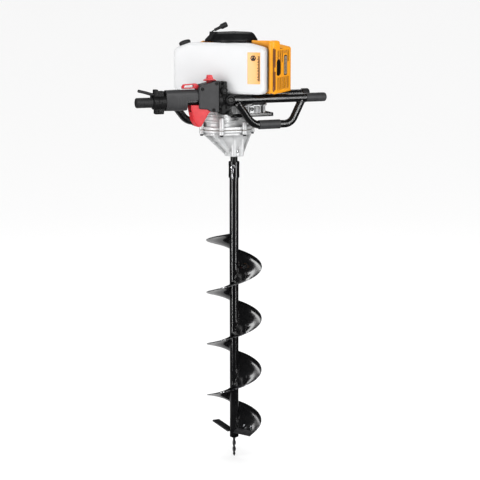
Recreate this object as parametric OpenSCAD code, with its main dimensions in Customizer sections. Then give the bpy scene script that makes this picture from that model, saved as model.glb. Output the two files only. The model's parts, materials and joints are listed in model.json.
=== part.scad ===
// Powered ice auger: a two-stroke engine over a two-stage gearbox that turns a
// single-flight bit. The origin is the drill tip on the bit's axis, +Z points up,
// the handle bars lie along X and the throttle side faces -Y.

/* [Auger bit] */
// Diameter of the flight
flight_d = 150; // [130:5:200]
// Diameter of the bit's shaft
shaft_d = 24; // [22:1:28]
// Rise of the flight in one turn
flight_pitch = 143; // [130:1:155]
// Thickness of the flight's sheet
flight_t = 3; // [2:0.5:4]
// Height of the flight's cut end above the tip
flight_low = 84; // [80:1:95]
// Number of turns of the flight
flight_turns = 3.75; // [3:0.05:3.75]
// Height of the lower end of the shaft
shaft_low = 56; // [50:1:60]
// Height of the coupler's top edge
coupler_top = 816; // [810:1:818]
// Outside diameter of the coupler
coupler_d = 29; // [28:1:32]
// Length of the coupler
coupler_l = 44; // [40:1:50]

/* [Gearbox] */
// Module of the gear teeth
gear_m = 1; // [1]
// Teeth on each large gear
wheel_z = 66; // [66]
// Teeth on each pinion
pinion_z = 12; // [12]
// Height of the gearbox's lowest face
box_low = 831; // [829:1:832]
// Radius of the two lobes of the gearbox
box_r = 46; // [44:1:48]
// Radius of the output boss
boss_r = 25; // [24:0.5:27]

/* [Handle frame] */
// Height of the bars' axes
bar_z = 985; // [985]
// Distance of each bar from the centre plane
bar_y = 64; // [64:1:66]
// Diameter of the bars
bar_d = 22; // [20:1:22]
// Right end of both bars
bar_right = 241; // [220:1:245]
// Right end of the front bar, without its grip's dome
front_right = 233; // [220:1:240]
// Left end of the front bar
front_left = -290; // [-290]
// Left end of the rear bar
rear_left = -205; // [-210:1:-180]
// Diameter of the loop tubes
loop_d = 20; // [18:1:20]
// Drop of a loop below its bar
loop_drop = 66; // [60:1:70]
// How far a loop leans outward at its foot
loop_lean = 14; // [8:1:16]
// Diameter of the vinyl grip on the front bar
grip_d = 23.6; // [23:0.1:25]
// Left end of the vinyl grip on the front bar
grip_from = 178; // [176:1:185]

/* [Engine] */
// Turn of the engine about the bit's axis
engine_turn = -43; // [-45:1:-42]
// Length of the fuel tank
tank_l = 253; // [245:1:255]
// Depth of the fuel tank
tank_w = 48; // [44:1:48]
// Height of the fuel tank
tank_h = 131; // [128:1:131]
// Height of the tank's floor
tank_low = 1000; // [1000]
// Radius of the recoil starter's housing
recoil_r = 62; // [60:1:62]
// Wall of the engine cover
cover_t = 2.5; // [2:0.5:3]

/* [Hidden] */
$fn = 64;

e = 0.05;                              // overshoot of a cut past a face
fit = 0.05;                            // radial clearance of a running fit
gap = 0.3;                             // clearance between bodies that move
fine = 32;                             // facets of a circle inside a hull
shaft_r = shaft_d/2;
flight_r = flight_d/2;
flight_end = -65 - 3*360;              // angle of the flight's cut end
flight_steps = 150;                    // facets along the flight
flight_root = shaft_r*(1 + 1/cos(flight_turns*180/flight_steps))/2;
front_turn = -65;                      // direction of the front blade's rear edge
rear_turn = 115;                       // direction of the rear blade's rear edge
blade_l = 60;                          // length of a blade along the radius
blade_w = 32;                          // width of a blade along the cut
blade_t = 4.5;                         // thickness of a blade
blade_back = 12;                       // part of the width that lies under the flight
blade_bolt_r = 3;
pin_turn = -30;                        // direction of the coupler's pin, from the front
axes_x = -gear_m*(wheel_z + pinion_z)/2;   // centre distance of both gear stages
press_a = 25;                          // pressure angle
backlash = 0.12;                       // thinning of each tooth flank

// Levels of the gearbox and the clutch above the tip
split_z = 903;
gasket_t = 1;
box_top = 937;
adapter_top = 946;
plate_low = 969;
plate_top = bar_z - bar_d/2;
neck_top = 993;
base_top = 999;

// Sizes of the ball bearings: bore radius, outside radius, width
big_bearing = [10, 21, 12];
small_bearing = [6, 14, 8];
crank_bearing = [8, 17, 10];
out_bearings = [836, 858];             // heights of the output bearings
mid_bearings = [874, 916];             // heights of the intermediate bearings
in_bearings = [916, 926];              // heights of the input bearings
crank_bearings = [1008, 1112];         // heights of the crank bearings

// Gear levels: lower face and width
out_gear = [884, 12];
mid_gear = [900, 12];
bolt_spots = [[axes_x, 107], [axes_x, 180], [axes_x, -107], [0, 79], [0, 0], [0, -79]];
bolt_out = 6;                          // distance of a bolt outside the lobe
wheel_room = 36;                       // radius of the hollows for the large gears
neck_r = 32;                           // radius of the casting round the input pinion
plate_left = -24;                      // left edge of the adapter plate

// Engine sizes in its own turned frame: u to the right, w towards the tank
tank_back = 32;
tank_left = -140;
tank_right = tank_left + tank_l;
cap_slope = 19;                        // slope of the tank's shoulder
cap_u = -114;
cover_low = 1001;
cover_top = 1138;
cover_step = 15;                       // w at which the cover's right shoulder begins
cover_right = 134;
cover_left = -98;
crank_z = 1056;                        // height of the cylinder's axis
dome_low = 1132;
dome_top = 1157;
lug_turn = 158 - engine_turn;          // direction of the recoil starter's lug
case_half = 44;
crank_throw = 16;                      // offset of the crank pin, half the stroke
carb_at = [-72, 70];
carb_low = 1036;

// Loops: places of their tops and feet along x, and the reach of each bend
front_tops = [-21, 170];
front_feet = [22, 130];
rear_tops = [-160, 27];
rear_feet = [-104, -6];
loop_bend = 14;

// Places along the front bar
box_x = [-128, -73];
box_half = 18;
trigger_pin = [-97, -17];              // x, and height from the bar's axis
lock_pivot = [-125, 32];
screw_spots = [[-119, 31], [-80, 44], [-88, -23]];
pull_dir = [0.78, -0.1, 0.36];         // way that the starter handle pulls out

// ---------------------------------------------------------------- helpers
module engine_frame() { rotate([0, 0, engine_turn]) children(); }
module at_bar(x) { translate([x, -bar_y, bar_z]) children(); }
module along_x(l, r) { rotate([0, 90, 0]) cylinder(h = l, r = r); }
module along_y(l, r) { rotate([-90, 0, 0]) cylinder(h = l, r = r); }
module ring(h, r_out, r_in) {
    difference() {
        cylinder(h = h, r = r_out);
        translate([0, 0, -e]) cylinder(h = h + 2*e, r = r_in);
    }
}
module slab(x0, x1, y0, y1, z0, z1) { translate([x0, y0, z0]) cube([x1 - x0, y1 - y0, z1 - z0]); }
module round_rect(l, w, r) {
    hull() for (x = [r, l - r], y = [r, w - r]) translate([x, y]) circle(r = r, $fn = fine);
}
// A profile in x and z, pushed through from y0 to y1
module profile(points, y0, y1) {
    translate([0, y1, 0]) rotate([90, 0, 0]) linear_extrude(y1 - y0) polygon(points);
}
// A round bar from point a to point b
module rod(a, b, r) {
    d = b - a;
    translate(a) rotate([0, acos(d[2]/norm(d)), atan2(d[1], d[0])]) cylinder(h = norm(d), r = r);
}
function unit(v) = v/norm(v);
// A smooth bend at corner b on the way from a to c, which starts and ends reach away from b
function bend(a, b, c, reach, n = 8) =
    [for (i = [0:n]) let (t = i/n) b + reach*((1 - t)^2*unit(a - b) + t^2*unit(c - b))];
// A round tube swept along path, which lies in the plane with the given normal
module sweep(path, normal, r, sides = 16) {
    last = len(path) - 1;
    points = [for (i = [0:last])
        let (way = unit(path[min(i + 1, last)] - path[max(i - 1, 0)]), side = cross(normal, way))
        for (k = [0:sides - 1])
            path[i] + r*(cos(360*k/sides)*side + sin(360*k/sides)*normal)];
    skin = [for (i = [0:last - 1], k = [0:sides - 1])
        let (a = i*sides + k, b = i*sides + (k + 1)%sides) [a, a + sides, b + sides, b]];
    caps = [[for (k = [0:sides - 1]) k], [for (k = [sides - 1:-1:0]) last*sides + k]];
    polyhedron(points = points, faces = concat(skin, caps), convexity = 6);
}
// A bolt whose head hangs at the origin and whose shank points up
module cap_bolt(r, l, head_r, head_h) {
    translate([0, 0, -head_h]) cylinder(h = head_h, r = head_r, $fn = 6);
    cylinder(h = l, r = r);
}

// Involute gear teeth
function inv(a) = tan(a) - a*PI/180;
function flank(rb, r) = r <= rb ? 0 : inv(acos(rb/r))*180/PI;
function tooth_half(z, r) =
    let (rp = gear_m*z/2, rb = rp*cos(press_a), half = (gear_m*PI/4 - backlash)/rp*180/PI)
    half + flank(rb, rp) - flank(rb, r);
function tooth(z, k) =
    let (rp = gear_m*z/2, rr = rp - 1.15*gear_m, rt = rp + 0.9*gear_m, n = 4)
    [for (i = [0:2*n + 1])
        let (j = i <= n ? i : 2*n + 1 - i, r = rr + (rt - rr)*j/n, s = i <= n ? -1 : 1,
             a = k*360/z + s*tooth_half(z, r)) [r*cos(a), r*sin(a)]];
module gear_shape(z) { polygon([for (k = [0:z - 1]) each tooth(z, k)]); }

// ------------------------------------------------------------- auger bit
module auger_shaft() {
    color("#1b1b1d") translate([0, 0, shaft_low])
        cylinder(h = coupler_top - coupler_l - shaft_low + 14, r = shaft_r);
}

// One corner of the flight's section at step i: side 0 and 1 lie on the underside
function flight_point(i, side) =
    let (t = i/flight_steps, a = flight_end + t*flight_turns*360,
         z = flight_low + t*flight_turns*flight_pitch + (side < 2 ? 0 : flight_t),
         r = (side == 0 || side == 3) ? flight_root : flight_r) [r*cos(a), r*sin(a), z];
module auger_flight() {
    n = flight_steps;
    points = [for (i = [0:n], s = [0:3]) flight_point(i, s)];
    sides = [for (i = [0:n - 1], s = [0:3])
        let (a = 4*i + s, b = 4*i + (s + 1)%4) each [[a, b, b + 4], [a, b + 4, a + 4]]];
    color("#151517") difference() {
        polyhedron(points = points, faces = concat(sides, [[3, 2, 1, 0]],
            [[4*n, 4*n + 1, 4*n + 2, 4*n + 3]]), convexity = 20);
        front_place() {
            slab(-shaft_r, blade_l + 20, -40, blade_back + 1, -30, 0);
            blade_bolt_spots() translate([0, 0, -9]) cylinder(h = 40, r = blade_bolt_r);
        }
    }
}

module blade_place(turn, z, pitch, rise) {
    rotate([0, 0, turn]) translate([shaft_r + 1, 0, z]) rotate([0, -rise, 0]) rotate([pitch, 0, 0])
        children();
}
module front_place() { blade_place(front_turn, flight_low - 0.5, 21, 3) children(); }
module rear_place() { blade_place(rear_turn, flight_low - 12, 8, 17) children(); }
module blade_bolt_spots() { for (x = [21, 45]) translate([x, 6, 0]) children(); }
// The flight's cut end is over the x axis and the cutting edge is at -y, ground to a bevel
module blade_plate() {
    front = blade_back - blade_w;
    translate([0, 0, -blade_t]) rotate([90, 0, 90]) linear_extrude(blade_l)
        polygon([[blade_back, 0], [blade_back, blade_t], [front + 6, blade_t], [front, 1],
            [front, 0]]);
}
module front_blade() {
    color("#26262a") difference() {
        front_place() difference() {
            blade_plate();
            blade_bolt_spots() translate([0, 0, -9]) cylinder(h = 20, r = blade_bolt_r);
        }
        cylinder(h = 200, r = shaft_r);
    }
}
module rear_blade() {
    color("#26262a") difference() {
        rear_place() blade_plate();
        cylinder(h = 200, r = shaft_r);
    }
}
module blade_bolts() {
    color("#8d8f93") front_place() blade_bolt_spots() translate([0, 0, -blade_t]) {
        translate([0, 0, -3]) cylinder(h = 3, r = 5, $fn = 6);
        cylinder(h = blade_t + 9, r = blade_bolt_r);
    }
}
module centre_drill() {
    color("#303034") {
        translate([0, 0, 8]) linear_extrude(shaft_low - 8, twist = -560, slices = 48)
            hull() for (s = [-1, 1]) translate([s*2.3, 0]) circle(r = 2.1, $fn = 16);
        cylinder(h = 8, r1 = 1.2, r2 = 4.2);
    }
}
module pin_turned() { rotate([0, 0, pin_turn]) children(); }
module auger_coupler() {
    color("#202023") translate([0, 0, coupler_top - coupler_l]) difference() {
        cylinder(h = coupler_l, r = coupler_d/2);
        translate([0, 0, -e]) cylinder(h = 14 + e, r = shaft_r);
        translate([0, 0, 14]) cylinder(h = coupler_l, r = 9.5);
        pin_turned() translate([0, -coupler_d, 31]) along_y(2*coupler_d, 4);
    }
}
module lock_pin() {
    color("#d5d6d8") pin_turned() translate([0, -coupler_d/2 - 4, coupler_top - 13]) {
        along_y(coupler_d + 8, 4);
        translate([0, -2, 0]) along_y(2, 6);
    }
}
// Hair-pin clip through the front of the lock pin: an eye, then a straight leg and a wavy one
module r_clip() {
    wire_r = 0.9;
    eye_r = 3.3;
    legs = [[-4, 0], [-2.4, -37]];
    wave = [[2.6, 0], [1.6, -14], [-1.8, -24], [2.4, -35]];
    eye = [for (a = [0:20:180]) [-0.7 - eye_r*cos(a), eye_r*sin(a)]];
    route = concat([legs[1]], eye, [for (i = [1:len(wave) - 2]) each
        bend(wave[i - 1], wave[i], wave[i + 1], 4, 4)], [wave[len(wave) - 1]]);
    color("#e4e5e7") pin_turned() translate([0, -coupler_d/2 - 7.5, coupler_top - 10])
        sweep([for (p = route) [p[0], 0, p[1]]], [0, 1, 0], wire_r, 8);
}

// --------------------------------------------------------------- gearbox
module output_shaft() {
    color("#3a3a3e") difference() {
        union() {
            translate([0, 0, coupler_top - 28]) cylinder(h = 46, r = 9.5);
            translate([0, 0, 832.4]) cylinder(h = out_gear[0] + out_gear[1] - 832.4, r = 10);
        }
        pin_turned() translate([0, -20, coupler_top - 13]) along_y(40, 4);
    }
}
module wheel(place_x, z, w, bore) {
    translate([place_x, 0, z]) difference() {
        linear_extrude(w) gear_shape(wheel_z);
        translate([0, 0, -e]) cylinder(h = w + 2*e, r = bore);
        for (a = [0:60:300]) rotate([0, 0, a]) translate([22, 0, -e]) cylinder(h = w + 2*e, r = 5.5);
    }
}
// A pinion a little longer than the large gear that it drives, with a collar at each end
module pinion(level) {
    translate([0, 0, level[0] - 0.5]) rotate([0, 0, 180/pinion_z])
        linear_extrude(level[1] + 1) gear_shape(pinion_z);
    for (z = [level[0] - 1.5, level[0] + level[1] + 0.5])
        translate([0, 0, z]) cylinder(h = 1, r = 7.4);
}
module output_gear() { color("#a9abad") wheel(0, out_gear[0], out_gear[1], 10); }
module intermediate_gear() { color("#a9abad") wheel(axes_x, mid_gear[0], mid_gear[1], 6); }
module intermediate_shaft() {
    color("#8c8e92") translate([axes_x, 0, 0]) {
        translate([0, 0, mid_bearings[0]])
            cylinder(h = out_gear[0] - 1.5 - mid_bearings[0], r = small_bearing[0]);
        pinion(out_gear);
        translate([0, 0, out_gear[0] + out_gear[1] + 1.5])
            cylinder(h = mid_bearings[1] + 6.5 - out_gear[0] - out_gear[1], r = small_bearing[0]);
        translate([0, 0, mid_gear[0] + mid_gear[1]]) cylinder(h = 3, r = 8);
    }
}
module input_pinion() {
    color("#8c8e92") {
        pinion(mid_gear);
        translate([0, 0, mid_gear[0] + mid_gear[1] + 1.5])
            cylinder(h = 958 - mid_gear[0] - mid_gear[1] - 1.5, r = small_bearing[0]);
    }
}
module oval(r) { hull() for (x = [axes_x, 0]) translate([x, 0]) circle(r = r, $fn = fine*2); }
module bolt_places() {
    for (s = bolt_spots) translate([s[0], 0, 0]) rotate([0, 0, s[1]])
        translate([box_r + bolt_out, 0, 0]) children();
}
module gearbox_lower_housing() {
    color("#d3d5d7") difference() {
        union() {
            hull() {
                translate([0, 0, split_z - 12]) cylinder(h = 12, r = box_r, $fn = 64);
                translate([0, 0, box_low]) cylinder(h = 3, r = boss_r, $fn = fine);
            }
            hull() {
                translate([axes_x, 0, split_z - 5]) cylinder(h = 5, r = wheel_room + 4, $fn = 64);
                translate([0, 0, split_z - 5]) cylinder(h = 5, r = box_r - 1, $fn = 64);
                translate([0, 0, box_low]) cylinder(h = 3, r = boss_r - 1, $fn = fine);
            }
            translate([0, 0, box_low]) cylinder(h = 8, r = boss_r);
            translate([axes_x, 0, mid_bearings[0] - 3])
                cylinder(h = split_z - mid_bearings[0] + 3, r = 16.5);
            bolt_places() translate([0, 0, split_z - 9]) cylinder(h = 9, r = 6.5);
            translate([0, 0, split_z - 4]) linear_extrude(4) oval(box_r + 2);
        }
        translate([0, 0, out_bearings[0] - 4]) cylinder(h = 60, r = big_bearing[1]);
        translate([0, 0, box_low - 1]) cylinder(h = 20, r = 12);
        translate([0, 0, out_gear[0] - 1]) cylinder(h = 40, r = wheel_room);
        translate([axes_x, 0, mid_bearings[0]]) cylinder(h = 40, r = small_bearing[1]);
        translate([axes_x, 0, mid_gear[0] - 2.5]) cylinder(h = 40, r = wheel_room);
        bolt_places() translate([0, 0, split_z - 20]) cylinder(h = 40, r = 3);
    }
}
module gearbox_upper_housing() {
    low = split_z + gasket_t;
    color("#dcdee0") difference() {
        union() {
            translate([0, 0, low]) linear_extrude(box_top - 8 - low) hull() {
                translate([axes_x, 0]) circle(r = box_r - 2);
                circle(r = neck_r);
            }
            translate([0, 0, low]) linear_extrude(8) oval(box_r + 2);
            translate([0, 0, low]) cylinder(h = box_top - low, r = neck_r);
            translate([axes_x, 0, low]) cylinder(h = adapter_top - gap - low, r = box_r - 3);
            translate([axes_x, 0, low + 20]) cylinder(h = 4, r = box_r);
            bolt_places() translate([0, 0, low]) cylinder(h = 30, r = 6.5);
        }
        slab(plate_left - gap, box_r, -box_r, box_r, box_top, adapter_top);
        translate([axes_x, 0, low - e]) cylinder(h = mid_gear[0] + mid_gear[1] + 2 - low, r = wheel_room);
        translate([0, 0, low - e]) cylinder(h = in_bearings[0] - 0.5 - low, r = 13);
        for (x = [axes_x, 0]) translate([x, 0, low])
            cylinder(h = mid_bearings[1] + small_bearing[2] - low, r = small_bearing[1]);
        translate([0, 0, in_bearings[1]]) cylinder(h = 30, r = small_bearing[1]);
        translate([0, 0, low]) cylinder(h = 60, r = 9);
        bolt_places() translate([0, 0, low - 1]) cylinder(h = 26, r = 3);
    }
}
module gearbox_gasket() {
    color("#5b4a3a") translate([0, 0, split_z]) linear_extrude(gasket_t) difference() {
        union() {
            oval(box_r + 1);
            bolt_places() circle(r = 6);
        }
        oval(37);
        bolt_places() circle(r = 3);
    }
}
module gearbox_bolts() {
    color("#1a1a1c") bolt_places() translate([0, 0, split_z - 9]) cap_bolt(3, 32, 4.6, 6);
}
module bearing(x, z, size) { translate([x, 0, z]) ring(size[2], size[1], size[0]); }
module ball_bearings() {
    color("#c9cacc") {
        for (z = out_bearings) bearing(0, z, big_bearing + [fit, 0, 0]);
        for (z = mid_bearings) bearing(axes_x, z, small_bearing + [fit, 0, 0]);
        for (z = in_bearings) bearing(0, z, small_bearing + [fit, 0, 0]);
        for (z = crank_bearings) bearing(0, z, crank_bearing + [fit, 0, 0]);
    }
}
module oil_seal() {
    color("#3b2a22") translate([0, 0, out_bearings[0] - 3.6]) ring(3.6, big_bearing[1], 10 + fit);
}

// ---------------------------------------------------------------- clutch
module adapter_plate() {
    color("#17181a") difference() {
        translate([plate_left, -46, box_top]) linear_extrude(adapter_top - box_top)
            round_rect(96 - plate_left, 92, 8);
        translate([0, 0, box_top - 1]) cylinder(h = 20, r = small_bearing[1]);
    }
}
module long_oval(r) { hull() for (x = [-42, 42]) translate([x, 0]) circle(r = r, $fn = fine*2); }
module clutch_housing() {
    color("#cfd1d3") difference() {
        union() {
            translate([0, 0, adapter_top]) linear_extrude(plate_low - adapter_top) long_oval(45);
            for (x = [-60:12:60], s = [-1, 1]) translate([x - 2, s > 0 ? 42 : -48, adapter_top])
                cube([4, 6, plate_low - adapter_top]);
            translate([0, 0, plate_low - 4]) linear_extrude(4) long_oval(48);
            translate([0, 0, plate_low - 1]) cylinder(h = neck_top - plate_low + 1, r = 47);
        }
        translate([0, 0, adapter_top + 4]) cylinder(h = 90, r = 43);
        translate([0, 0, adapter_top - 1]) cylinder(h = 20, r = 12);
    }
}
module clutch_drum() {
    color("#77797c") translate([0, 0, 952]) difference() {
        cylinder(h = 32, r = 40);
        translate([0, 0, 4]) cylinder(h = 40, r = 37);
        translate([0, 0, -1]) cylinder(h = 10, r = small_bearing[0]);
    }
}
module clutch_shoes() {
    color("#6a5c4e") for (s = [0, 180]) rotate([0, 0, s]) translate([0, 0, 960]) difference() {
        intersection() {
            ring(20, 36, 12);
            slab(-40, 40, 3, 40, -1, 30);
        }
        for (x = [-22, 22]) translate([x, 18, -1]) cylinder(h = 30, r = 4);
    }
}

// ---------------------------------------------------------------- engine
module crankshaft() {
    color("#9a9ca0") {
        translate([0, 0, 958.5]) cylinder(h = crank_z - 10 - 958.5, r = 8);
        translate([0, 0, 956.5 + 3.5]) ring(20, 12, 8);
        for (z = [crank_z - 20, crank_z + 8]) translate([0, 0, z]) cylinder(h = 12, r = 26);
        translate([0, 0, crank_z + 19]) cylinder(h = 1152 - crank_z - 19, r = 8);
    }
}
module flywheel() {
    color("#a4a6aa") {
        translate([0, 0, dome_low + 2]) ring(5, 50, 8);
        for (a = [0:24:336]) rotate([0, 0, a]) translate([26, -1, dome_low + 6]) cube([22, 2, 5.5]);
    }
}
module crankcase() {
    color("#b9bbbe") engine_frame() difference() {
        union() {
            translate([0, 0, neck_top]) cylinder(h = base_top - neck_top, r = 47);
            slab(-case_half, case_half, -30, 44, base_top, dome_low);
        }
        translate([0, 0, crank_z - 24]) cylinder(h = 48, r = 28);
        for (z = crank_bearings) translate([0, 0, z])
            cylinder(h = crank_bearing[2], r = crank_bearing[1] + fit);
        translate([0, 0, neck_top - 1]) cylinder(h = 200, r = 10);
        translate([0, 0, crank_z]) along_y(80, 22.1);
    }
}
module cylinder_fins() {
    translate([0, 44, crank_z]) along_y(94, 27);
    for (y = [52:7.5:127]) slab(-42, 42, y, y + 2.4, crank_z - 34, crank_z + 32);
}
module cylinder_barrel() {
    color("#8e9093") engine_frame() difference() {
        cylinder_fins();
        translate([0, 0, crank_z]) along_y(130, 22.1);
        translate([0, 120, crank_z]) along_y(30, 7);
    }
}
module piston() {
    color("#d8d9db") engine_frame() translate([0, 62, crank_z]) difference() {
        along_y(34, 22);
        translate([0, -1, 0]) along_y(30, 18);
    }
}
module connecting_rod() {
    color("#8f9195") engine_frame() translate([0, 0, crank_z]) {
        translate([0, crank_throw, -6]) cylinder(h = 12, r = 11);
        translate([0, crank_throw, -7.7]) cylinder(h = 15.4, r = 7);
        slab(-5, 5, crank_throw + 8, 78, -5, 5);
        translate([0, 78, -6]) cylinder(h = 12, r = 8);
        translate([0, 78, -16]) cylinder(h = 32, r = 5);
    }
}
module spark_plug() {
    color("#e9e7e0") engine_frame() translate([0, 0, crank_z]) {
        translate([0, 121, 0]) along_y(17, 6.9);
        translate([0, 138, 0]) along_y(5, 10);
        translate([0, 143, 0]) rotate([-90, 0, 0]) cylinder(h = 3, r = 6);
    }
}
module muffler() {
    color("#6b6c6f") engine_frame() difference() {
        union() {
            slab(52, 118, 10, 66, 1016, 1096);
            translate([42.5, 60, crank_z]) along_x(20, 9);
        }
        slab(54, 116, 12, 64, 1018, 1094);
        translate([110, 30, 1060]) along_x(20, 7);
    }
}
module carburettor() {
    color("#b5b7b9") engine_frame() difference() {
        union() {
            slab(-86, -58, 52, 88, carb_low, carb_low + 36);
            translate([-59, carb_at[1], crank_z]) along_x(16.5, 12);
            translate([carb_at[0], carb_at[1], carb_low + 36]) cylinder(h = 12, r = 9);
        }
        translate([-90, carb_at[1], crank_z]) along_x(60, 8);
        translate([carb_at[0], carb_at[1], carb_low + 24]) cylinder(h = 40, r = 3 + fit);
        translate([carb_at[0], carb_at[1], carb_low - 1]) cylinder(h = 8, r = 9 + gap);
    }
}
module carb_throttle_arm() {
    color("#caa63c") engine_frame() translate([carb_at[0], carb_at[1], 0]) {
        translate([0, 0, 1066]) cylinder(h = 22, r = 3);
        translate([0, 0, 1084.4]) linear_extrude(2.5) hull() {
            circle(r = 6, $fn = fine);
            translate([-4, -20]) circle(r = 4, $fn = fine);
        }
    }
}
module air_filter_cover() {
    color("#1b1b1d") engine_frame() difference() {
        slab(-134, -90, 34, 104, 1012, 1104);
        slab(-131, -89, 37, 101, 1015, 1101);
        slab(-108, -100, 90, 110, 1040, 1072);
    }
}
module choke_lever() {
    color("#b3201f") engine_frame() translate([-104, 102, 1056]) {
        along_y(8, 3);
        translate([-3, 3.5, -3]) cube([6, 3, 22]);
    }
}
module primer_bulb() {
    color("#d9c9a0") engine_frame() translate([carb_at[0], carb_at[1], carb_low + 3.7])
    mirror([0, 0, 1]) {
        cylinder(h = 3.4, r = 9);
        translate([0, 0, 3.4]) intersection() {
            sphere(r = 8);
            translate([-9, -9, 0]) cube([18, 18, 9]);
        }
    }
}

// Outlines of the engine cover, moved inward by i: its floor, its side in w and height, drawn
// from the tank side back, and its plan in u and w. Both its shoulders slope down.
function cover_floor(i) = cover_low - (i > 0 ? 2 : 0);
function cover_side(i) = [[60 - i, cover_floor(i)], [60 - i, cover_top - i], [32, cover_top - i],
    [-45, 1126 - i], [-100, 1112 - i], [-140 + i, 1090], [-152 + i, 1056], [-152 + i, cover_floor(i)]];
function cover_plan(i) = [[cover_left + i, 29 - i], [115 + i, 29 - i], [115 + i, 60 - i],
    [cover_right - i, 60 - i], [cover_right - i, -72], [cover_right - 22, -102 + i], [62, -152 + i],
    [-62, -152 + i], [cover_left + i, -112]];
module cover_block(i) {
    difference() {
        cover_prism(i);
        profile([[78 - 2*i, cover_top + 1 - i], [140, cover_top - 25 - i], [140, cover_top + 12],
            [78 - 2*i, cover_top + 12]], -cover_step - i, 160);
        profile([[2*i - 66, cover_top + 1 - i], [-120, cover_top - 24 - i], [-120, cover_top + 12],
            [2*i - 66, cover_top + 12]], -160, 80);
    }
}
module cover_prism(i) {
    intersection() {
        translate([0, 0, cover_floor(i)]) linear_extrude(140) mirror([0, 1]) polygon(cover_plan(i));
        translate([-150, 0, 0]) rotate([90, 0, 90]) linear_extrude(300) mirror([1, 0])
            polygon(cover_side(i));
    }
}
module engine_cover() {
    color("#f0a11c") engine_frame() difference() {
        cover_block(0);
        cover_block(cover_t);
        translate([0, 0, dome_low - 60]) cylinder(h = 90, r = recoil_r + 2.5);
        slab(-60, 60, -40, -20, cover_low - 2, cover_top + 12);
        rotate([0, 0, lug_turn]) slab(0, 79, -17, 17, dome_low - 6, cover_top + 12);
        for (z = [1024:12:1108]) slab(cover_right - 5, cover_right + 5, 20, 58, z, z + 4);
        slab(cover_left - 5, cover_left + 9, 34 - gap, 104 + gap, cover_low - 5, 1104 + gap);
        translate([0, 140, crank_z]) along_y(30, 16);
    }
}
module fuel_tank() {
    shoulder = tank_left + 44;
    drop = 44*tan(cap_slope);
    wall = 2.5;
    color("#f2f3f2") engine_frame() difference() {
        profile([[tank_left, tank_low], [tank_right, tank_low], [tank_right, tank_low + tank_h - 12],
            [tank_right - 50, tank_low + tank_h], [shoulder, tank_low + tank_h],
            [tank_left, tank_low + tank_h - drop]], -tank_back - tank_w, -tank_back);
        profile([[tank_left + wall, tank_low + wall], [tank_right - wall, tank_low + wall],
            [tank_right - wall, tank_low + tank_h - 14], [tank_right - 50, tank_low + tank_h - wall],
            [shoulder, tank_low + tank_h - wall], [tank_left + wall, tank_low + tank_h - drop - 2]],
            -tank_back - tank_w + wall, -tank_back - wall);
        cap_place() translate([0, 0, -12]) cylinder(h = 30, r = 10);
    }
}
module cap_place() {
    rise = (cap_u - tank_left - 44)*tan(cap_slope);
    translate([cap_u, -tank_back - tank_w/2, tank_low + tank_h + rise]) rotate([0, -cap_slope, 0])
        children();
}
module fuel_cap() {
    color("#1c1c1e") engine_frame() cap_place() {
        translate([0, 0, gap]) cylinder(h = 11, r = 15);
        translate([0, 0, -8]) cylinder(h = 9, r = 9.6);
    }
}

// ------------------------------------------------------- recoil starter
module recoil_housing() {
    color("#1a1a1c") engine_frame() difference() {
        union() {
            translate([0, 0, dome_low]) cylinder(h = 6, r = recoil_r);
            translate([0, 0, dome_low + 6]) cylinder(h = dome_top - dome_low - 6, r1 = recoil_r, r2 = 48);
            rotate([0, 0, lug_turn]) profile([[40, dome_low], [76, dome_low],
                [76, dome_low + 5], [56, dome_top], [40, dome_top]], -14, 14);
            rotate([0, 0, -engine_turn]) translate([-57, 16, dome_low + 2]) cylinder(h = 24, r = 5.5);
        }
        translate([0, 0, dome_low - 1]) cylinder(h = 7, r = 52);
        translate([0, 0, dome_low + 5]) cylinder(h = dome_top - dome_low - 8, r1 = 52, r2 = 42);
        for (a = [0:30:330]) rotate([0, 0, a]) translate([24, -2, dome_top - 5]) cube([14, 4, 10]);
    }
}
module starter_pulley() {
    color("#e6e4dc") translate([0, 0, dome_low + 13]) difference() {
        union() {
            cylinder(h = 2, r = 34);
            cylinder(h = 8, r = 28);
            translate([0, 0, 6]) cylinder(h = 2, r = 34);
        }
        translate([0, 0, -1]) cylinder(h = 10, r = 8 + gap);
    }
}
module starter_handle() {
    way = unit(pull_dir);
    foot = [-48, 16, dome_top + 3.5];
    color("#141416") {
        rod(foot, foot + 18*way, 3.8);
        rod(foot + 16*way, foot + 37*way, 7.4);
    }
}

// ---------------------------------------------------------- handle frame
module front_bar() {
    color("#131315") translate([front_left, -bar_y, bar_z]) difference() {
        along_x(front_right - front_left, bar_d/2);
        translate([-1, 0, 0]) along_x(front_right - front_left + 2, bar_d/2 - 2);
    }
}
module rear_bar() {
    color("#131315") translate([rear_left, bar_y, bar_z]) difference() {
        along_x(bar_right - rear_left, bar_d/2);
        translate([-1, 0, 0]) along_x(bar_right - rear_left + 2, bar_d/2 - 2);
    }
}
// A loop hangs from a bar: tops and feet are its places along x, side is -1 or 1
module loop_tube(tops, feet, side) {
    y = side*bar_y;
    foot_y = side*(bar_y + loop_lean);
    low = bar_z - loop_drop;
    ends = [for (x = tops) [x, y, bar_z]];
    corners = [for (x = feet) [x, foot_y, low]];
    sweep(concat([ends[0]], bend(ends[0], corners[0], corners[1], loop_bend),
        bend(corners[0], corners[1], ends[1], loop_bend), [ends[1]]),
        unit([0, -loop_drop, -side*loop_lean]), loop_d/2);
}
module loop(tops, feet, side) {
    difference() {
        loop_tube(tops, feet, side);
        translate([-300, side*bar_y, bar_z]) along_x(600, bar_d/2);
    }
}
module front_loop() { color("#131315") loop(front_tops, front_feet, -1); }
module rear_loop() { color("#131315") loop(rear_tops, rear_feet, 1); }
module sleeve(x0, x1, side) {
    translate([x0, side*(bar_y + loop_lean), bar_z - loop_drop]) rotate([0, 90, 0])
        ring(x1 - x0, loop_d/2 + 2, loop_d/2);
}
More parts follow.
